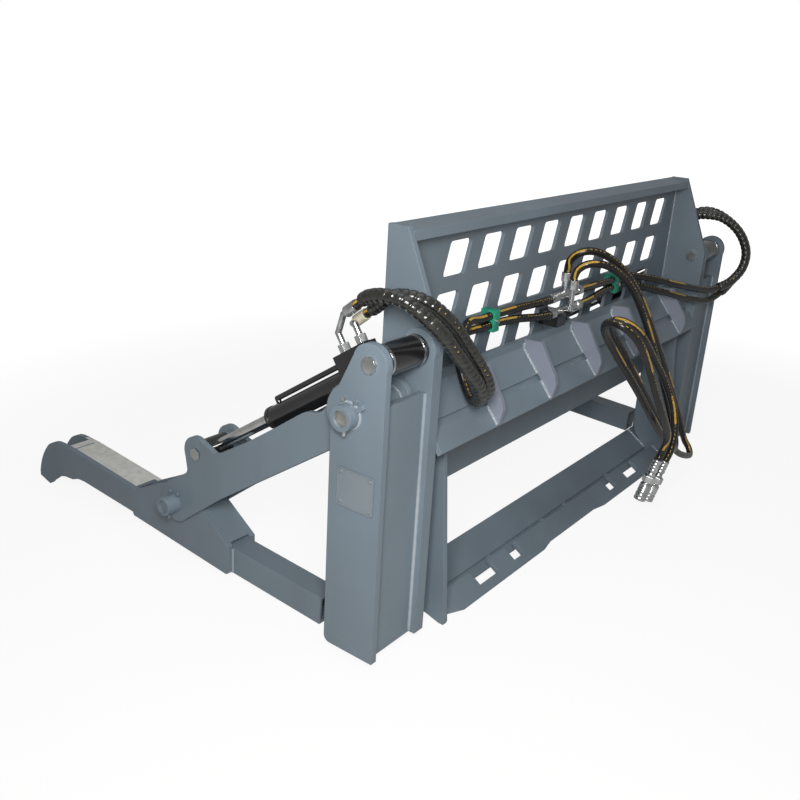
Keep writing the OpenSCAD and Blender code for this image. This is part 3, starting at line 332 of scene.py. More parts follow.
@dataclass(frozen=True)
class SatinPaint:
    """Satin powder paint on steel plate, with a fine peel and a painted highlight along its edges.
    """

    name: str = "satin_paint"
    colour: Colour = (0.206, 0.262, 0.314)
    shade: Colour = (0.180, 0.224, 0.264)
    # Paler colour painted along edges as a highlight.
    edge: Colour = (0.290, 0.348, 0.402)
    roughness: float = 0.42
    peel: float = 0.00005
    edge_radius: float = 0.0018
    edge_highlight_share: float = 0.55
    cloud_share: float = 0.6
    sheen_spread: float = 0.16
    coat: float = 0.12
    coat_roughness: float = 0.25

    def material(self) -> bpy.types.Material:
        """Builds the finish.

        Returns:
            Its material.
        """
        s = Shader(self.name)
        cloud = s.noise(4.0, 3.0)
        runs = s.noise(9.0, 2.0, s.stretched((1.0, 1.0, 0.18)))
        normal, rim = s.soft_edges(self.edge_radius)
        mottle = cloud * self.cloud_share + runs * (1.0 - self.cloud_share)
        body = s.blend(mottle.between(0.35, 0.68), self.shade, self.colour)
        return s.close(
            # Edges are blended to the paler edge colour: a painted highlight.
            Base_Color=s.blend(rim * self.edge_highlight_share, body, self.edge),
            Roughness=(cloud - 0.5) * self.sheen_spread + self.roughness,
            Normal=s.bump(s.noise(420.0, 2.0), self.peel, normal),
            Coat_Weight=self.coat,
            Coat_Roughness=self.coat_roughness,
        )


@dataclass(frozen=True)
class GlossBlack:
    """Thick gloss black paint, as on the cylinders."""

    name: str = "gloss_black"
    colour: Colour = (0.014, 0.014, 0.015)
    dust: Colour = (0.045, 0.044, 0.040)
    roughness: float = 0.16
    wave: float = 0.00008
    edge_radius: float = 0.0015
    edge_highlight_share: float = 0.25
    dust_share: float = 0.55
    dust_roughness: float = 0.22
    coat: float = 0.5
    coat_roughness: float = 0.08

    def material(self) -> bpy.types.Material:
        """Builds the finish.

        Returns:
            Its material.
        """
        s = Shader(self.name)
        dust = s.noise(14.0, 5.0).between(0.52, 0.80)
        normal, rim = s.soft_edges(self.edge_radius)
        # The noise part is dust; the edge share lays the same pale colour along edges as a painted
        # highlight.
        pale = dust * self.dust_share + rim * self.edge_highlight_share
        return s.close(
            Base_Color=s.blend(pale, self.colour, self.dust),
            Roughness=dust * self.dust_roughness + self.roughness,
            Normal=s.bump(s.noise(90.0, 2.0), self.wave, normal),
            Coat_Weight=self.coat,
            Coat_Roughness=self.coat_roughness,
        )


@dataclass(frozen=True)
class PlatedMetal:
    """Bare or plated metal with fine turning lines, a clouded sheen and a painted highlight along
    its edges.
    """

    name: str
    colour: Colour
    shade: Colour
    roughness: float
    cloud_scale: float = 40.0
    line_scale: float = 900.0
    line_depth: float = 0.00003
    metallic: float = 1.0
    edge_radius: float = 0.0008
    edge_highlight_share: float = 0.35
    sheen_spread: float = 0.20

    def material(self) -> bpy.types.Material:
        """Builds the finish.

        Returns:
            Its material.
        """
        s = Shader(self.name)
        cloud = s.noise(self.cloud_scale, 3.0)
        normal, rim = s.soft_edges(self.edge_radius)
        colour = s.blend(cloud.between(0.35, 0.70), self.shade, self.colour)
        lines = s.noise(self.line_scale, 1.0)
        return s.close(
            # Edges are blended to the lighter colour: a painted highlight.
            Base_Color=s.blend(rim * self.edge_highlight_share, colour, self.colour),
            Roughness=(cloud - 0.5) * self.sheen_spread + self.roughness,
            Metallic=self.metallic,
            Normal=s.bump(lines, self.line_depth, normal),
        )


@dataclass(frozen=True)
class HoseCover:
    """Black rubber hose with a dotted line and long bars printed along one side."""

    name: str = "hose_cover"
    colour: Colour = (0.012, 0.011, 0.010)
    dust: Colour = (0.030, 0.028, 0.025)
    ink: Colour = (0.72, 0.43, 0.06)
    roughness: float = 0.24
    wrap: float = 0.00010
    dust_share: float = 0.6
    dust_roughness: float = 0.18
    line_at: float = 0.02
    line_half: float = 0.014
    bar_half: float = 0.045
    bar_step: float = 0.31
    bar_length: float = 0.075
    bar_ink: float = 0.92
    dash_step: float = 0.0105

    def material(self) -> bpy.types.Material:
        """Builds the finish.

        Returns:
            Its material.
        """
        s = Shader(self.name)
        along, around = s.stored("along"), s.stored("around")
        off = abs((around - self.line_at + 0.5) % 1.0 - 0.5)
        in_bar = (along % self.bar_step) < self.bar_length
        bar = in_bar * (off < self.bar_half)
        broken = s.noise(160.0, 2.0) > 0.44
        dash = (along % self.dash_step) < self.dash_step * 0.5
        line = dash * (off < self.line_half) * broken * (1.0 - in_bar)
        worn = s.noise(300.0, 3.0).between(0.30, 0.46)
        ink = (bar * self.bar_ink + line) * worn
        dust = s.noise(26.0, 4.0).between(0.45, 0.85)
        rubber = s.blend(dust * self.dust_share, self.colour, self.dust)
        return s.close(
            Base_Color=s.blend(ink, rubber, self.ink),
            Roughness=dust * self.dust_roughness + self.roughness,
            Normal=s.bump(s.noise(520.0, 2.0), self.wrap),
        )


@dataclass(frozen=True)
class SpiralGuard:
    """Black spiral guard; the printed hose shows a little in its grooves."""

    name: str = "spiral_guard"
    colour: Colour = (0.014, 0.014, 0.012)
    dust: Colour = (0.045, 0.043, 0.034)
    ink: Colour = (0.62, 0.36, 0.07)
    roughness: float = 0.18
    wave: float = 0.00006
    dust_share: float = 0.75
    dust_roughness: float = 0.18
    rings_per_metre: float = 61.0
    ring_roughness: float = 0.08
    coat: float = 0.6
    coat_roughness: float = 0.16
    groove_from: float = 0.60
    line_at: float = 0.04
    line_half: float = 0.030

    def material(self) -> bpy.types.Material:
        """Builds the finish.

        Returns:
            Its material.
        """
        s = Shader(self.name)
        along, around = s.stored("along"), s.stored("around")
        off = abs((around - self.line_at + 0.5) % 1.0 - 0.5)
        bared = (s.stored("groove") > self.groove_from) * (off < self.line_half)
        seen = bared * (s.noise(40.0, 1.0) > 0.60)
        dust = s.noise(60.0, 4.0).between(0.40, 0.80)
        worn = s.blend(dust * self.dust_share, self.colour, self.dust)
        rings = ((along * self.rings_per_metre) % 1.0 < 0.5) * self.ring_roughness
        return s.close(
            Base_Color=s.blend(seen, worn, self.ink),
            Roughness=dust * self.dust_roughness + rings + self.roughness,
            Normal=s.bump(s.noise(380.0, 2.0), self.wave),
            Coat_Weight=self.coat,
            Coat_Roughness=self.coat_roughness,
        )


@dataclass(frozen=True)
class Moulded:
    """Moulded plastic, or a matt painted small part, with a painted highlight along its edges."""

    name: str
    colour: Colour
    shade: Colour
    roughness: float = 0.45
    grain: float = 0.00006
    edge_radius: float = 0.0010
    edge_highlight_share: float = 0.4
    edge_highlight_lift: float = 1.5
    sheen_spread: float = 0.15

    def material(self) -> bpy.types.Material:
        """Builds the finish.

        Returns:
            Its material.
        """
        s = Shader(self.name)
        cloud = s.noise(55.0, 3.0)
        normal, rim = s.soft_edges(self.edge_radius)
        body = s.blend(cloud.between(0.30, 0.70), self.shade, self.colour)
        # A lighter copy of the colour, painted along edges as a highlight.
        edge = tuple(min(1.0, self.edge_highlight_lift * c) for c in self.colour)
        return s.close(
            Base_Color=s.blend(rim * self.edge_highlight_share, body, edge),
            Roughness=(cloud - 0.5) * self.sheen_spread + self.roughness,
            Normal=s.bump(s.noise(700.0, 2.0), self.grain, normal),
        )


class Finishes:
    """Every finish of the object, made once."""

    def __init__(self) -> None:
        """Makes the materials."""
        self.paint = SatinPaint().material()
        # The weld beads are painted much paler than the frame: a painted highlight standing in for
        # their glints.
        self.weld = SatinPaint(
            name="weld_paint_painted_highlight",
            colour=(0.42, 0.47, 0.51),
            shade=(0.26, 0.30, 0.34),
            roughness=0.15,
            peel=0.0004,
        ).material()
        # A paler, bluer copy of the frame paint on the gussets: painted light for their brightly
        # lit faces.
        self.gusset = SatinPaint(
            name="gusset_paint_painted_light", colour=(0.27, 0.30, 0.37), shade=(0.23, 0.25, 0.31), roughness=0.36
        ).material()
        self.black = GlossBlack().material()
        self.chrome = PlatedMetal(
            "hard_chrome", (0.80, 0.80, 0.78), (0.68, 0.68, 0.66), 0.12, line_depth=0.00001
        ).material()
        self.zinc = PlatedMetal(
            "zinc_plating", (0.78, 0.79, 0.80), (0.50, 0.51, 0.50), 0.26
        ).material()
        self.steel = PlatedMetal(
            "turned_steel", (0.62, 0.60, 0.54), (0.44, 0.43, 0.39), 0.36, metallic=0.9
        ).material()
        self.hose = HoseCover().material()
        self.guard = SpiralGuard().material()
        self.green = Moulded("clamp_green", (0.03, 0.40, 0.25), (0.02, 0.26, 0.17)).material()
        self.cream = Moulded("cream_sleeve", (0.70, 0.66, 0.52), (0.56, 0.52, 0.40)).material()
        self.plate = SatinPaint(
            name="plate_paint", colour=(0.25, 0.29, 0.32), shade=(0.21, 0.25, 0.28), roughness=0.30
        ).material()
        # Pale colour on the up-facing tops of the foot's plates: a painted highlight where light
        # falls on them.
        self.strip = Moulded("painted_highlight_strip", (0.78, 0.78, 0.73), (0.66, 0.66, 0.62), 0.35).material()


# Meshes


def metres(points: Points) -> list[Vector]:
    """Turns millimetre points into metre vectors."""
    return [Vector(p) * MM for p in points]


def smooth_route(points: Sequence[Vector], steps: int) -> list[Vector]:
    """Passes one smooth curve through the points.

    Args:
        points: The points of the route.
        steps: How many steps each stretch gets.

    Returns:
        The points of the curve.
    """
    last = len(points) - 1
    curve: list[Vector] = []
    for i in range(last):
        a, b = points[max(0, i - 1)], points[i]
        c, d = points[i + 1], points[min(last, i + 2)]
        for k in range(steps):
            t = k / steps
            linear = (c - a) * t
            square = (2 * a - 5 * b + 4 * c - d) * t * t
            cube = (3 * b - a - 3 * c + d) * t**3
            curve.append(0.5 * (2 * b + linear + square + cube))
    curve.append(points[last].copy())
    return curve


def stations(path: Sequence[Vector]) -> list[float]:
    """Measures a path.

    Args:
        path: The path.

    Returns:
        How far along it each of its points lies.
    """
    lengths = [0.0]
    for a, b in zip(path, path[1:]):
        lengths.append(lengths[-1] + (b - a).length)
    return lengths


def route_length(path: Sequence[Vector]) -> float:
    """Returns the path's whole length."""
    return stations(path)[-1]


def even_route(path: Sequence[Vector], step: float) -> list[Vector]:
    """Spaces points evenly along a path.

    Args:
        path: The path.
        step: The wanted spacing.

    Returns:
        The evenly spaced points, with both ends kept.
    """
    lengths = stations(path)
    count = max(2, round(lengths[-1] / step))
    spaced, i = [], 0
    for k in range(count + 1):
        goal = lengths[-1] * k / count
        while i < len(path) - 2 and lengths[i + 1] < goal:
            i += 1
        span = max(lengths[i + 1] - lengths[i], 1e-9)
        spaced.append(path[i].lerp(path[i + 1], min(1.0, (goal - lengths[i]) / span)))
    return spaced


def ring_frames(path: Sequence[Vector]) -> list[tuple[Vector, Vector]]:
    """Carries two side directions along a path without twist.

    Args:
        path: The path.

    Returns:
        For each point, the two directions across the path.
    """
    frames = []
    across = Vector((0.31, 0.17, 0.93))
    last = len(path) - 1
    for i in range(last + 1):
        along = (path[min(last, i + 1)] - path[max(0, i - 1)]).normalized()
        across = (across - across.dot(along) * along).normalized()
        frames.append((across, along.cross(across)))
    return frames


class Builder:
    """Collects the points and faces of one mesh."""

    def __init__(self) -> None:
        """Starts empty."""
        self.verts: list[Vector] = []
        self.faces: list[tuple[int, ...]] = []

    def ring(self, middle: Vector, u: Vector, w: Vector, radii: Sequence[float]) -> None:
        """Adds a ring of points.

        Args:
            middle: Its middle.
            u: The direction of its first point.
            w: The direction a quarter of a turn on.
            radii: The radius of each point.
        """
        for k, r in enumerate(radii):
            turn = math.tau * k / len(radii)
            self.verts.append(middle + r * (math.cos(turn) * u + math.sin(turn) * w))

    def walls(self, base: int, sides: int) -> None:
        """Closes the rings added last with walls and two ends.

        Args:
            base: The first ring's first point.
            sides: How many points a ring has.
        """
        last = len(self.verts) - sides
        for start in range(base, last, sides):
            for k in range(sides):
                a, b = start + k, start + (k + 1) % sides
                self.faces.append((a, b, b + sides, a + sides))
        self.faces.append(tuple(base + k for k in reversed(range(sides))))
        self.faces.append(tuple(last + k for k in range(sides)))

    def tube(
        self, path: Sequence[Vector], radius: Callable[[int, float], float], sides: int
    ) -> None:
        """Adds a closed tube along a path.

        Args:
            path: The path.
            radius: The radius at a ring and a share of the turn.
            sides: How many sides it has.
        """
        base = len(self.verts)
        for i, (point, (u, w)) in enumerate(zip(path, ring_frames(path))):
            self.ring(point, u, w, [radius(i, k / sides) for k in range(sides)])
        self.walls(base, sides)

    def turned(self, start: Vector, way: Vector, profile: Profile, sides: int) -> None:
        """Adds a turned part.

        Args:
            start: Where its axis starts.
            way: The axis, one unit long.
            profile: Pairs of station and radius, from the start.
            sides: How many sides it has, 6 for a hexagon.
        """
        u = way.orthogonal().normalized()
        w = way.cross(u)
        base = len(self.verts)
        for station, r in profile:
            self.ring(start + way * station, u, w, [r] * sides)
        self.walls(base, sides)

    def bead(self, path: Sequence[Vector], radius: float, seed: int = 0) -> None:
        """Adds a weld bead with its ripples.

        Args:
            path: The corners that it follows.
            radius: Its radius.
            seed: What makes its ripples its own.
        """
        line = even_route(path, radius * 0.32)
        rings_per_ripple, lean, sides = 3.4, 0.10, 10
        swing = 0.7 + 0.3 * math.sin(seed * 1.7)

        def ripple(i: int, share: float) -> float:
            """Works out the bead's radius at a place.

            Args:
                i: The ring.
                share: The share of the turn.

            Returns:
                The radius.
            """
            phase = i / rings_per_ripple + lean * math.cos(math.tau * share)
            scale = 0.5 + 0.5 * math.cos(math.tau * phase)
            wave = 0.06 * math.sin(i * 0.37 + seed) * swing
            return radius * (0.86 + 0.16 * scale + wave)

        self.tube(line, ripple, sides)

    def piece(
        self, name: str, material: bpy.types.Material, smooth: bool = True
    ) -> bpy.types.Object:
        """Makes the object in the scene.

        Args:
            name: Its name.
            material: Its finish.
            smooth: Whether it is shaded smooth.

        Returns:
            The object.
        """
        mesh = bpy.data.meshes.new(name)
        mesh.from_pydata([tuple(v) for v in self.verts], [], self.faces)
        mesh.polygons.foreach_set("use_smooth", [smooth] * len(mesh.polygons))
        mesh.materials.append(material)
        mesh.update()
        made = bpy.data.objects.new(name, mesh)
        bpy.context.scene.collection.objects.link(made)
        return made


def mark_rings(
    piece: bpy.types.Object,
    path: Sequence[Vector],
    sides: int,
    groove: Callable[[int, float], float],
) -> None:
    """Stores along, around and groove on a tube's corners, for its finish.

    Around is 0 on the side that PRINT_SIDE points to, all along the path.

    Args:
        piece: The tube.
        path: The path it was swept along.
        sides: How many sides it has.
        groove: How deep in a groove each place is.
    """
    lengths = stations(path)
    zero = [
        math.atan2(w.dot(PRINT_SIDE), u.dot(PRINT_SIDE)) / math.tau for u, w in ring_frames(path)
    ]
    along, around, deep = [], [], []
    for polygon in piece.data.polygons:
        first = None
        for v in polygon.vertices:
            ring, k = divmod(v, sides)
            share = k / sides - zero[ring]
            first = share if first is None else first
            along.append(lengths[ring])
            around.append(first + (share - first + 0.5) % 1.0 - 0.5)
            deep.append(groove(ring, k / sides))
    for name, values in (("along", along), ("around", around), ("groove", deep)):
        layer = piece.data.attributes.new(name, "FLOAT", "CORNER")
        layer.data.foreach_set("value", values)


def hose_piece(
    name: str, path: Sequence[Vector], diameter: float, material: bpy.types.Material
) -> bpy.types.Object:
    """Makes a plain round hose.

    Args:
        name: Its name.
        path: Its line.
        diameter: Its outer diameter.
        material: Its finish.

    Returns:
        The hose.
    """
    sides = 20
    line = even_route(path, diameter * 0.28)
    build = Builder()
    build.tube(line, lambda i, share: diameter / 2, sides)
    piece = build.piece(name, material)
    mark_rings(piece, line, sides, lambda ring, share: 0.0)
    return piece


def guard_piece(
    name: str, path: Sequence[Vector], diameter: float, pitch: float, material: bpy.types.Material
) -> bpy.types.Object:
    """Makes a spiral guard around a hose.

    Args:
        name: Its name.
        path: Its line.
        diameter: Its outer diameter.
        pitch: The distance between two turns.
        material: Its finish.

    Returns:
        The guard.
    """
    sides, depth, ends = 24, 0.0020, 2
    groove_width, groove_curve, crown_height = 0.32, 0.7, 0.0004
    line = even_route(path, pitch / 9)
    step = route_length(line) / (len(line) - 1)

    def hollow(i: int, share: float) -> float:
        """Tells how deep in the groove a place is.

        Args:
            i: The ring.
            share: The share of the turn.

        Returns:
            The depth, from 0 to 1.
        """
        phase = (i * step / pitch + share) % 1.0
        edge = min(phase, 1.0 - phase) * 2
        return max(0.0, 1.0 - edge / groove_width) ** groove_curve

    def radius(i: int, share: float) -> float:
        """Works out the guard's radius at a place.

        Args:
            i: The ring.
            share: The share of the turn.

        Returns:
            The radius, drawn in at both ends.
        """
        crown = crown_height * math.sin(math.pi * ((i * step / pitch + share) % 1.0))
        shut = 0.0 if ends <= i < len(line) - ends else depth * 0.6
        return diameter / 2 - depth * hollow(i, share) + crown - shut

    build = Builder()
    build.tube(line, radius, sides)
    piece = build.piece(name, material)
    mark_rings(piece, line, sides, hollow)
    return piece


# Studio


@dataclass
class Studio:
    """The camera, the lamps, the pale floor and the backdrop."""

    camera_at: tuple[float, float, float] = (-1.9292, -0.8748, 1.0931)
    right: tuple[float, float, float] = (0.6144, -0.7870, 0.0561)
    up: tuple[float, float, float] = (0.2473, 0.2596, 0.9336)
    forward: tuple[float, float, float] = (0.7493, 0.5597, -0.3541)
    lens: float = 41.06
    sensor: float = 36.0
    clip: tuple[float, float] = (0.05, 100.0)
    aim: tuple[float, float, float] = (0.0, 0.25, 0.35)
    fill: float = 0.08
    white: float = 1.12
    glossy_share: float = 0.25
    near_share: float = 0.80
    floor_half: float = 30.0
    floor_drop: float = 0.0006
    white_from: float = 1.3
    white_to: float = 3.2

    def camera(self) -> None:
        """Puts the camera where the photograph was taken."""
        data = bpy.data.cameras.new("camera")
        data.lens = self.lens
        data.sensor_width = self.sensor
        data.clip_start, data.clip_end = self.clip
        camera = bpy.data.objects.new("camera", data)
        bpy.context.scene.collection.objects.link(camera)
        back = -Vector(self.forward)
        turn = Matrix((Vector(self.right), Vector(self.up), back)).transposed()
        camera.matrix_world = Matrix.Translation(self.camera_at) @ turn.to_4x4()
        bpy.context.scene.camera = camera

    def lamp(
        self, name: str, at: tuple[float, float, float], size: float, power: float, tint: Colour
    ) -> None:
        """Adds a soft lamp aimed at the object.

        Args:
            name: Its name.
            at: Where it stands.
            size: The side of its square face.
            power: Its power in watts.
            tint: Its colour.
        """
        data = bpy.data.lights.new(name, "AREA")
        data.size = size
        data.energy = power
        data.color = tint
        lamp = bpy.data.objects.new(name, data)
        bpy.context.scene.collection.objects.link(lamp)
        way = Vector(self.aim) - Vector(at)
        lamp.rotation_euler = way.to_track_quat("-Z", "Y").to_euler()
        lamp.location = at

    def world(self) -> None:
        """Lights the object evenly, with white behind it."""
        world = bpy.data.worlds.new("studio")
        bpy.context.scene.world = world
        nodes = Nodes(world)
        background = "ShaderNodeBackground"
        fill = nodes.add(background, None, {"Color": (0.93, 0.97, 1.0, 1.0), "Strength": self.fill})
        seen = nodes.add(background, None, {"Color": WHITE, "Strength": 1.0})
        nodes.mixed(self.plain_rays(nodes), fill, seen)

    def plain_rays(self, nodes: Nodes) -> Link:
        """Tells the rays that see white from the light's own.

        Args:
            nodes: The tree to add the nodes to.

        Returns:
            1 for the camera's rays, the glossy share for reflections, or else 0.
        """
        share = nodes.add("ShaderNodeLightPath", out="Is Glossy Ray") * self.glossy_share
        for name in ("Is Camera Ray", "Is Transmission Ray"):
            share = share.most(nodes.add("ShaderNodeLightPath", out=name))
        return share

    def far_share(self, nodes: Nodes) -> Link:
        """Rises from the object's surroundings to the far floor, which is all white.

        Args:
            nodes: The tree to add the nodes to.

        Returns:
            The share of white.
        """
        place = nodes.add("ShaderNodeTexCoord", out="Object")
        far = nodes.add("ShaderNodeVectorMath", {"operation": "LENGTH"}, {0: place}, "Value")
        rise = far.between(self.white_from, self.white_to)
        return rise * (1.0 - self.near_share) + self.near_share

    def floor(self) -> None:
        """Lays the pale floor, which keeps the object's soft shadow."""
        nodes = Nodes(bpy.data.materials.new("pale_floor"))
        matt = nodes.add("ShaderNodeBsdfDiffuse", None, {"Color": (0.55, 0.55, 0.54, 1.0)})
        white = nodes.add("ShaderNodeEmission", None, {"Color": WHITE, "Strength": self.white})
        nodes.mixed(self.plain_rays(nodes) * self.far_share(nodes), matt, white)
        half = self.floor_half
        square = ((-half, -half), (half, -half), (half, half), (-half, half))
        sheet = Builder()
        sheet.verts = [Vector((x, y, -self.floor_drop)) for x, y in square]
        sheet.faces = [(0, 1, 2, 3)]
        floor = sheet.piece("floor", nodes.owner, smooth=False)

    def build(self) -> None:
        """Builds the studio."""
        bpy.context.scene.view_settings.view_transform = "Standard"
        self.world()
        self.floor()
        self.lamp("key", (-1.80, -0.76, 1.24), 0.5, 29.0, (1.0, 0.99, 0.97))
        self.lamp("top", (-0.3, -0.1, 3.2), 2.6, 20.0, (0.95, 0.98, 1.0))


# Sub-assemblies


@dataclass
class SupplyHose:
    """A free supply hose that hangs from its tee, with its quick coupler."""

    letter: str
    route: Points
    material: bpy.types.Material
    metal: bpy.types.Material
    dark: bpy.types.Material
    diameter: float = 0.018
    ferrule_length: float = 0.032
    ferrule_radius: float = 0.011
    neck_radius: float = 0.010
    neck_length: float = 0.012
    hex_length: float = 0.018
    hex_radius: float = 0.0155
    sleeve_radius: float = 0.0145
    body_length: float = 0.066

    def ferrule(self) -> Profile:
        """Draws the crimped ferrule.

        Returns:
            Its profile.
        """
        r, length = self.ferrule_radius, self.ferrule_length
        profile = [(0.0, r * 0.90), (0.0012, r)]
        for i in range(3):
            profile += self.groove(0.005 + 0.008 * i, r, (0.0010, 0.0042, 0.0052), 0.92)
        return profile + [(length - 0.001, r), (length, r * 0.92)]

    @staticmethod
    def groove(at: float, r: float, steps: tuple[float, float, float], share: float) -> Profile:
        """Returns a groove's profile, whose bottom has a share of the radius."""
        low, high, last = (at + step for step in steps)
        return [(at, r), (low, r * share), (high, r * share), (last, r)]

    def sleeve(self, start: float, stop: float) -> Profile:
        """Draws the sliding sleeve with its grip grooves and open mouth.

        Args:
            start: Where it starts.
            stop: Where it ends.

        Returns:
            Its profile.
        """
        r = self.sleeve_radius
        profile = [(start, r * 0.80), (start + 0.006, r * 0.80)]
        profile += [(start + 0.007, r * 0.97), (start + 0.009, r)]
        at = start + 0.010
        while at < start + 0.023:
            profile += self.groove(at, r, (0.0007, 0.0016, 0.0023), 0.95)
            at += 0.0032
        profile += self.groove(at + 0.001, r, (0.001, 0.004, 0.005), 0.90)
        profile += self.groove(stop - 0.011, r, (0.001, 0.003, 0.004), 0.93)
        mouth = r * 0.70
        return profile + [(stop - 0.001, r), (stop, r * 0.95), (stop, mouth), (stop - 0.005, mouth)]

    def coupler(self, end: Vector, way: Vector) -> list[bpy.types.Object]:
        """Makes the ferrule with its neck, the hexagon, the grooved sleeve and the face in it.

        Args:
            end: Where the hose ends.
            way: The hose's direction there.

        Returns:
            The pieces.
        """
        neck, h, r, bevel = self.neck_radius, self.hex_radius, self.sleeve_radius, 0.0016
        crimp, hex_at = self.ferrule_length, self.ferrule_length + self.neck_length
        hex_end, tip = hex_at + self.hex_length, hex_at + self.body_length
        stem = [(crimp - 0.002, neck * 0.9), (crimp + 0.006, neck * 0.9)]
        stem += [(crimp + 0.008, neck), (hex_at + 0.001, neck)]
        nut = [(hex_at, h * 0.88), (hex_at + bevel, h), (hex_end - bevel, h), (hex_end, h * 0.88)]
        face = [(tip - 0.006, r * 0.5), (tip - 0.0008, r * 0.62)]
        pieces = []
        for word, turns, material in (
            ("ferrule", ((self.ferrule(), 36), (stem, 32)), self.metal),
            ("hexagon", ((nut, 6),), self.metal),
            ("sleeve", ((self.sleeve(hex_end - 0.001, tip), 40),), self.metal),
            ("face", ((face, 28),), self.dark),
        ):
            build = Builder()
            for profile, sides in turns:
                build.turned(end, way, profile, sides)
            name = f"coupler_{self.letter}_{word}"
            pieces.append(build.piece(name, material, smooth=word != "hexagon"))
        return pieces

    def build(self) -> None:
        points = metres(self.route)
        path = smooth_route(points, 12)
        hose = hose_piece(f"supply_hose_{self.letter}_cover", path, self.diameter, self.material)
        way = (points[-1] - points[-2]).normalized()
        pieces = self.coupler(points[-1], way)
        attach(hose, "frame")
        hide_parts(f"supply_hose_{self.letter}")
        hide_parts(f"coupler_{self.letter}")
        for piece in pieces:
            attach(piece, "frame")
        tuple(points[0])
        round(route_length(path), 3)
        [tuple(p) for p in even_route(path, 0.012)]
        LOG.info("supply hose %s: %.3f m", self.letter, route_length(path))


@dataclass
class CylinderHoses:
    """The two hoses between a cylinder and the tees, with their guards."""

    side: Side
    routes: dict[str, Points]
    runs: dict[str, Points]
    guard_last: int
    still: tuple[float, float, float]
    moving: tuple[float, float, float]
    cover: bpy.types.Material
    wrap: bpy.types.Material
    diameter: float = 0.018
    guard_diameter: float = 0.025
    guard_first: int = 1
    pitch: float = 0.0140
    steps: int = 12
    run_steps: int = 8

    def build(self) -> None:
        """Builds the hoses and guards."""
        word = self.side.word
        for letter, route in self.routes.items():
            path = smooth_route(metres(route), self.steps)
            hose = hose_piece(f"{word}_hose_{letter}", path, self.diameter, self.cover)
            part = path[self.guard_first * self.steps : self.guard_last * self.steps + 1]
            guard = guard_piece(
                f"{word}_guard_{letter}", part, self.guard_diameter, self.pitch, self.wrap
            )
            for piece in (hose, guard):
                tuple(self.still)
                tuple(self.moving)
                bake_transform(piece)
            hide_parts(f"{word}_hoses")
            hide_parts(f"{word}_hose_guards")
        for letter, run in self.runs.items():
            path = smooth_route(metres(run), self.run_steps)
            piece = hose_piece(f"{word}_run_{letter}", path, self.diameter, self.cover)
            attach(piece, "frame")
        LOG.info("%s hoses and guards", word)


@dataclass
class Dresser:
    """Gives the CAD nodes their finishes."""

    nodes: dict[str, bpy.types.Object]
    finishes: Finishes

    def plain(self, name: str, material: bpy.types.Material) -> None:
        """Gives a whole node one finish."""
        self.parted(name, [material], lambda face: 0)

    def parted(
        self,
        name: str,
        materials: Sequence[bpy.types.Material],
        choose: Callable[[bpy.types.MeshPolygon], int],
    ) -> None:
        """Gives a node's faces finishes by their place.

        Args:
            name: The node.
            materials: The finishes.
            choose: Which of them a face gets.
        """
        mesh = self.nodes[name].data
        mesh.materials.clear()
        for material in materials:
            mesh.materials.append(material)
        picks = [choose(polygon) for polygon in mesh.polygons]
        mesh.polygons.foreach_set("material_index", picks)
        mesh.update()


def around_pivot(x: float, r: float) -> list[Vector]:
    """Returns a circle about the arms' pivot, at an x and with a radius."""
    turn = [math.tau * k / 48 for k in range(49)]
    return [Vector((x, PIVOT[0] + r * math.cos(t), PIVOT[1] + r * math.sin(t))) for t in turn]


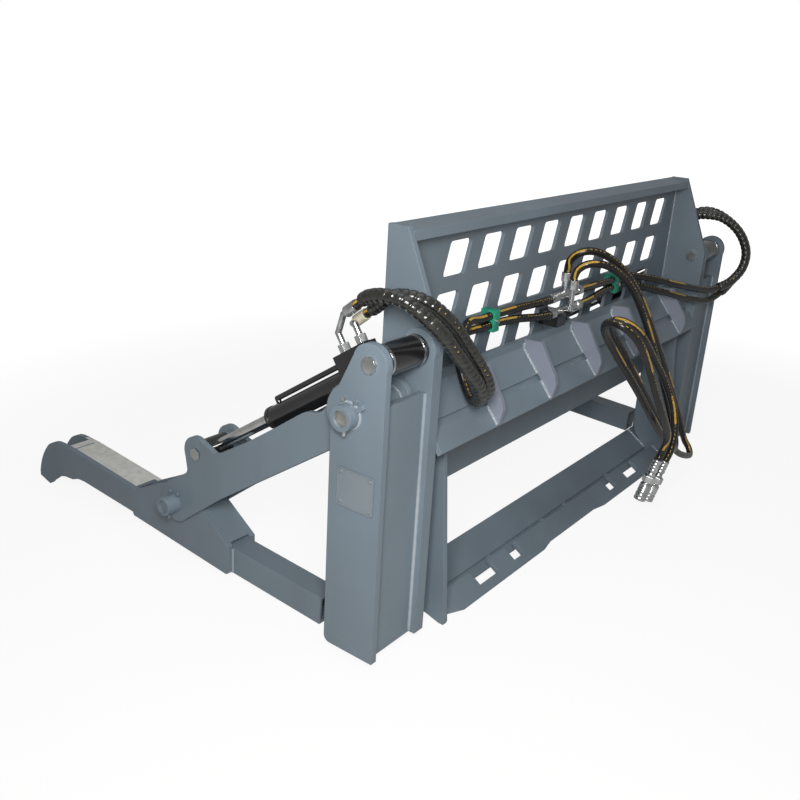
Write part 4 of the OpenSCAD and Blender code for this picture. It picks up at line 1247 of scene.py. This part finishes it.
@dataclass
class Carriage:
    """The welded frame: columns, headboard, rails and coupling."""

    dresser: Dresser
    column_half_gap: float = 0.060
    back_plate_y: float = 0.014
    boss_face_x: float = 0.8005
    lip_weld_x: float = 0.5695
    rail_weld_x: float = 0.6365
    nameplate_x: float = -0.8018
    nameplate_y: tuple[float, float] = (0.015, 0.097)
    nameplate_z: tuple[float, float] = (0.324, 0.397)
    gusset_x: tuple[float, ...] = (-0.436, -0.218, 0.0, 0.218, 0.517)
    gusset_half: float = 0.006
    lip_angle: float = 51.0
    lip_top: tuple[float, float] = (0.068, 0.505)
    keeper_behind: float = 0.0165
    welds: Builder = field(default_factory=Builder)
    paired: tuple[str, ...] = (
        "side_plate", "column_outer_plate", "column_inner_plate", "column_back_plate",
    )  # fmt: skip
    single: tuple[str, ...] = (
        "top_rail", "grille", "upper_lip", "lip_lower_plate", "upper_rail", "lower_rail",
        "bottom_plate", "end_plates",
    )  # fmt: skip

    def keeper_finish(self, face: bpy.types.MeshPolygon) -> int:
        """Returns 0 on a painted bar, 1 on the plated bolts and nipples."""
        behind = PIVOT[0] - face.center.y > self.keeper_behind
        return 0 if behind and face.center.z > PIVOT[1] else 1

    def lip_point(self, x: float, along: float) -> Vector:
        """Returns the point at an x and some way down the lip's sloping face."""
        a, (y, z) = math.radians(self.lip_angle), self.lip_top
        return Vector((x, y - along * math.cos(a), z - along * math.sin(a)))

    def gusset_welds(self) -> None:
        """Adds the beads along both sides of each gusset."""
        radius = 0.0048
        for i, x in enumerate(self.gusset_x):
            for s in (-1, 1):
                side = x + s * (self.gusset_half + 0.001)
                top = Vector((side, self.lip_top[0] - 0.002, self.lip_top[1] + 0.010))
                upper = [top, self.lip_point(side, 0.004), self.lip_point(side, 0.066)]
                self.welds.bead(upper, radius, i)
                self.welds.bead([self.lip_point(side, at) for at in (0.084, 0.128)], radius, i + 9)

    def column_welds(self) -> None:
        """Adds the beads of the columns' back plates and pivot bosses."""
        y = self.back_plate_y - 0.001
        for side in Side:
            for s in (-1, 1):
                x = side.value * COLUMN_X + s * (self.column_half_gap - 0.001)
                self.welds.bead([Vector((x, y, z)) for z in (0.020, 0.524)], 0.0042, s + 3)
            self.welds.bead(around_pivot(side.value * self.boss_face_x, 0.0245), 0.0032, 2)

    def coupling_welds(self) -> None:
        """Adds the beads where the coupling meets its end plates and the rails."""
        inner, outer = self.lip_weld_x, self.rail_weld_x
        for s in (-1, 1):
            for x, start, stop, radius, seed in (
                (inner, (-0.012, 0.003), (0.034, 0.0325), 0.004, 7),
                (inner, (0.058, 0.021), (0.115, 0.0605), 0.0045, 8),
                (outer, (0.099, 0.252), (0.099, 0.404), 0.0045, 4),
                (outer, (0.058, 0.021), (0.116, 0.0605), 0.0045, 6),
                (outer, (0.111, 0.408), (0.111, 0.784), 0.0036, 11),
            ):
                self.welds.bead([Vector((s * x, *start)), Vector((s * x, *stop))], radius, seed)

    def plate_rim(self) -> None:
        """Adds the raised rim of the bare nameplate."""
        (rear, front), (low, high) = self.nameplate_y, self.nameplate_z
        outline = ((rear, low), (front, low), (front, high), (rear, high), (rear, low))
        corners = [Vector((self.nameplate_x, y, z)) for y, z in outline]
        rim = Builder()
        rim.tube(even_route(corners, 0.0015), lambda i, share: 0.0012, 8)
        piece = rim.piece("nameplate_rim", self.dresser.finishes.plate)
        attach(piece, "frame")

    def build(self) -> None:
        """Paints the frame and adds its welds."""
        finish = self.dresser.finishes
        for side in Side:
            for name in self.paired:
                self.dresser.plain(f"{side.word}_{name}", finish.paint)
            self.dresser.plain(f"{side.word}_arm_pin", finish.steel)
            self.dresser.plain(f"{side.word}_cylinder_pin", finish.zinc)
        for name in self.single:
            self.dresser.plain(name, finish.paint)
        self.dresser.plain("nameplate", finish.plate)
        self.dresser.plain("lip_gussets", finish.gusset)
        self.dresser.parted("pin_keepers", [finish.paint, finish.zinc], self.keeper_finish)
        self.gusset_welds()
        self.column_welds()
        self.coupling_welds()
        self.plate_rim()
        piece = self.welds.piece("frame_welds", finish.weld)
        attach(piece, "frame")
        LOG.info("frame and welds")


@dataclass
class Arm:
    """One arm with its foot."""

    side: Side
    dresser: Dresser
    hub_half: float = 0.0395
    hub_radius: float = 0.0265
    foot_half_gap: float = 0.0265
    tube_end_y: float = 0.4305
    bead: float = 0.003
    highlight_y: tuple[float, float] = (0.700, 1.045)
    painted: tuple[str, ...] = (
        "arm_outer_plate", "arm_inner_plate", "arm_web",
        "foot_outer_plate", "foot_tube", "foot_pin",
    )  # fmt: skip

    def lit_top_finish(self, face: bpy.types.MeshPolygon) -> int:
        """Returns 1 on the up-facing upper edge of the foot's plates, painted pale as a highlight,
        or else 0.
        """
        on_lit_top = self.highlight_y[0] < face.center.y < self.highlight_y[1]
        return 1 if on_lit_top and face.normal.z > 0.7 else 0

    def build(self) -> None:
        """Paints the arm and its foot."""
        finish, word = self.dresser.finishes, self.side.word
        for name in self.painted:
            self.dresser.plain(f"{word}_{name}", finish.paint)
        self.dresser.plain(f"{word}_rod_pin", finish.zinc)
        # The foot's up-facing tops get the pale painted highlight.
        for name in ("foot_deck", "foot_inner_plate"):
            self.dresser.parted(f"{word}_{name}", [finish.paint, finish.strip], self.lit_top_finish)
        self.welds()
        LOG.info("%s arm and foot", word)

    def welds(self) -> None:
        """Adds the beads around the arm's hub, and between the foot's plates and its tube."""
        x = self.side.value * COLUMN_X
        hub = Builder()
        for s in (-1, 1):
            hub.bead(around_pivot(x + s * self.hub_half, self.hub_radius), self.bead, 2)
        ring = hub.piece(f"{self.side.word}_hub_welds", self.dresser.finishes.weld)
        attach(ring, f"{self.side.word}_arm")
        build = Builder()
        for s in (-1, 1):
            edge = x + s * (self.foot_half_gap + 0.001)
            line = [Vector((edge, self.tube_end_y, z)) for z in (0.016, 0.072)]
            build.bead(line, self.bead, s + 2)
        piece = build.piece(f"{self.side.word}_foot_welds", self.dresser.finishes.weld)
        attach(piece, f"{self.side.word}_foot")


@dataclass
class Cylinder:
    """One hydraulic cylinder with its port block and rod."""

    side: Side
    dresser: Dresser
    base: tuple[float, float] = (0.036, 0.603)
    angle: float = -34.1
    block_top: float = 0.0475
    mouth_a: tuple[float, float, float] = (0.700, 0.130, 0.654)
    mouth_radius: float = 0.034
    mouth_x: float = 0.716
    mouth_z: float = 0.660
    ring_off: float = 0.044
    ring_half: float = 0.0028
    ring_radii: tuple[float, float] = (0.0292, 0.034)
    eye_radius: float = 0.027

    def above(self, centre: Vector) -> float:
        """Returns how far a point lies above the cylinder's line."""
        a = math.radians(self.angle)
        return -(centre.y - self.base[0]) * math.sin(a) + (centre.z - self.base[1]) * math.cos(a)

    def barrel_finish(self, face: bpy.types.MeshPolygon) -> int:
        """Tells the rings of the base tube, which get zinc as a painted highlight line, from the
        barrel.

        Args:
            face: A face.

        Returns:
            1 on a ring, or else 0.
        """
        off = abs(abs(face.center.x) - COLUMN_X)
        away = math.hypot(face.center.y - self.base[0], face.center.z - self.base[1])
        inner, outer = self.ring_radii
        return 1 if abs(off - self.ring_off) < self.ring_half and inner < away < outer else 0

    def rod_finish(self, face: bpy.types.MeshPolygon) -> int:
        """Returns 1 on the rod's black eye, or else 0."""
        away = math.hypot(face.center.y - ROD_PIN[0], face.center.z - ROD_PIN[1])
        return 1 if away < self.eye_radius else 0

    def fitting_finish(self, face: bpy.types.MeshPolygon) -> int:
        """Tells the black block from the plated elbows and the cream sleeve.

        Args:
            face: A face.

        Returns:
            0 for the block, 1 for the elbows, 2 for the cream sleeve.
        """
        centre = face.center
        mouth = Vector(self.mouth_a)
        mouth.x *= self.side.value
        low_inside = abs(centre.x) < self.mouth_x and centre.z < self.mouth_z
        if (centre - mouth).length < self.mouth_radius and low_inside:
            return 2
        return 1 if self.above(centre) > self.block_top else 0

    def build(self) -> None:
        """Paints the cylinder."""
        finish, word = self.dresser.finishes, self.side.word
        # The base tube's rings get zinc as a painted highlight line.
        self.dresser.parted(f"{word}_barrel", [finish.black, finish.zinc], self.barrel_finish)
        self.dresser.plain(f"{word}_gland", finish.black)
        self.dresser.parted(
            f"{word}_port_fittings", [finish.black, finish.zinc, finish.cream], self.fitting_finish
        )
        self.dresser.parted(f"{word}_rod", [finish.chrome, finish.black], self.rod_finish)
        LOG.info("%s cylinder", word)


@dataclass
class Lines:
    """The tees and clamps on the grille."""

    dresser: Dresser
    clamp_front: float = 0.0778
    block_x: tuple[float, float] = (-0.0865, -0.0455)
    block_top: float = 0.5575
    port: tuple[float, float] = (0.074, 0.556)
    port_radius: float = 0.0102

    def clamp_finish(self, face: bpy.types.MeshPolygon) -> int:
        """Returns 1 on a clamp's bolt, or else 0."""
        return 1 if face.center.y < self.clamp_front else 0

    def tee_finish(self, face: bpy.types.MeshPolygon) -> int:
        """Tells the black block under the tees from their plating.

        Args:
            face: A face.

        Returns:
            1 on the block, or else 0.
        """
        centre = face.center
        inside = self.block_x[0] < centre.x < self.block_x[1] and centre.z < self.block_top
        off = math.hypot(centre.y - self.port[0], centre.z - self.port[1])
        return 1 if inside and off > self.port_radius else 0

    def build(self) -> None:
        """Gives the tees and clamps their finishes."""
        finish = self.dresser.finishes
        self.dresser.parted("hose_clamps", [finish.green, finish.zinc], self.clamp_finish)
        self.dresser.parted("hose_tees", [finish.zinc, finish.black], self.tee_finish)
        LOG.info("tees and clamps")


LEFT_A: Points = (
    (-700, 130, 654), (-701, 117, 664), (-702, 104, 674), (-710, 66, 700), (-704, 32, 706),
    (-681, 5, 694), (-653, -10, 670), (-625, -17, 643), (-595, -23, 607), (-559, -27, 567),
    (-534, -30, 535), (-513, -26, 507), (-496, -10, 482), (-484, 10, 482), (-480, 34, 514),
    (-470, 58, 552), (-454, 76, 586), (-424, 86, 597), (-390, 90, 593), (-368, 90, 592),
    (-355, 90, 592), (-343, 90, 592),
)  # fmt: skip
LEFT_B: Points = (
    (-738, 122, 679), (-740, 108, 689.5), (-742, 94, 700), (-746, 58, 710), (-739, 20, 707),
    (-718, -12, 682), (-691, -29, 653), (-664, -34, 624), (-636, -40, 592), (-606, -43, 560),
    (-579, -43, 534), (-556, -37, 505), (-538, -19, 484), (-524, 5, 478), (-514, 28, 500),
    (-506, 50, 534), (-488, 80, 558), (-448, 94, 570), (-400, 92, 573), (-368, 90, 572),
    (-355, 90, 572), (-343, 90, 572),
)  # fmt: skip
LEFT_RUN_A: Points = (
    (-321, 90, 592), (-309, 90, 592), (-230, 90, 590), (-150, 90, 586), (-99, 90, 584),
    (-87, 90, 584),
)  # fmt: skip
LEFT_RUN_B: Points = (
    (-321, 90, 572), (-309, 90, 572), (-240, 86, 568), (-170, 78, 560), (-124, 74, 556),
    (-112, 74, 556),
)  # fmt: skip
RIGHT_RUN_A: Points = (
    (63, 90, 584), (75, 90, 584), (120, 90, 583), (180, 90, 582), (229, 90, 581), (241, 90, 581),
)  # fmt: skip
RIGHT_RUN_B: Points = (
    (36, 74, 556), (48, 74, 556), (100, 78, 556), (170, 86, 559), (229, 90, 561), (241, 90, 561),
)  # fmt: skip
RIGHT_A: Points = (
    (700, 130, 654), (701, 117, 664), (702, 104, 674), (712, 70, 702), (722, 38, 709),
    (742, 2, 704), (760, -34, 680), (770, -60, 646), (774, -74, 606), (766, -72, 564),
    (740, -56, 530), (694, -38, 515), (633, -26, 514), (560, -12, 529), (470, 10, 550),
    (390, 42, 571), (334, 74, 581), (300, 90, 581), (288, 90, 581), (275, 90, 581), (263, 90, 581),
)  # fmt: skip
RIGHT_B: Points = (
    (738, 122, 679), (740, 108, 689.5), (742, 94, 700), (747, 66, 714), (756, 38, 715),
    (770, 8, 703), (788, -26, 676), (798, -52, 642), (802, -66, 602), (794, -64, 560),
    (768, -48, 524), (722, -38, 496), (648, -28, 482), (564, -12, 495), (472, 10, 520),
    (393, 42, 542), (336, 76, 558), (300, 90, 561), (288, 90, 561), (275, 90, 561), (263, 90, 561),
)  # fmt: skip
SUPPLY_A: Points = (
    (-14, 90, 638), (-14, 90, 646), (-20, 82, 670), (-20, 60, 690), (2, 34, 694), (46, 10, 674),
    (98, -12, 632), (168, -28, 562), (258, -40, 456), (382, -48, 316), (504, -54, 172),
    (562, -60, 88), (576, -76, 54), (540, -90, 48), (424, -92, 98), (306, -86, 196),
    (186, -74, 314), (92, -60, 412), (22, -50, 484), (-34, -50, 534), (-76, -68, 566),
    (-82, -104, 570), (-44, -126, 538), (26, -136, 470), (88, -150, 400), (114, -168, 336),
    (112, -182, 280), (102, -184, 234), (96, -178, 205),
)  # fmt: skip
SUPPLY_B: Points = (
    (-44, 56, 630), (-44, 56, 638), (-46, 46, 658), (-36, 26, 672), (-8, 2, 670), (30, -18, 650),
    (70, -38, 612), (128, -54, 538), (200, -70, 430), (270, -88, 310), (314, -106, 216),
    (300, -126, 170), (236, -140, 180), (150, -140, 244), (52, -134, 332), (-30, -126, 410),
    (-96, -112, 478), (-152, -102, 536), (-196, -104, 576), (-226, -124, 602), (-230, -160, 602),
    (-196, -182, 568), (-142, -188, 508), (-90, -194, 436), (-36, -198, 370), (18, -196, 314),
    (46, -190, 280), (56, -182, 251), (50, -176, 222),
)  # fmt: skip


def main() -> None:
    """Builds the studio and every sub-assembly around the frame."""
    logging.basicConfig(level=logging.INFO, format="%(name)s: %(message)s")
    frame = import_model()
    studio = Studio()
    studio.camera()
    finishes = Finishes()
    for letter, route in (("a", SUPPLY_A), ("b", SUPPLY_B)):
        SupplyHose(letter, route, finishes.hose, finishes.zinc, finishes.steel).build()
    studio.build()
    CylinderHoses(
        Side.LEFT, {"a": LEFT_A, "b": LEFT_B}, {"a": LEFT_RUN_A, "b": LEFT_RUN_B}, 12,
        (-0.62, -0.03, 0.62), (-0.72, 0.115, 0.668), finishes.hose, finishes.guard,
    ).build()  # fmt: skip
    CylinderHoses(
        Side.RIGHT, {"a": RIGHT_A, "b": RIGHT_B}, {"a": RIGHT_RUN_A, "b": RIGHT_RUN_B}, 11,
        (0.80, -0.060, 0.60), (0.72, 0.115, 0.668), finishes.hose, finishes.guard,
    ).build()  # fmt: skip
    dresser = Dresser(frame["nodes"], finishes)
    Carriage(dresser).build()
    for side in Side:
        Arm(side, dresser).build()
        Cylinder(side, dresser).build()
    Lines(dresser).build()


if __name__ == "__main__":
    main()
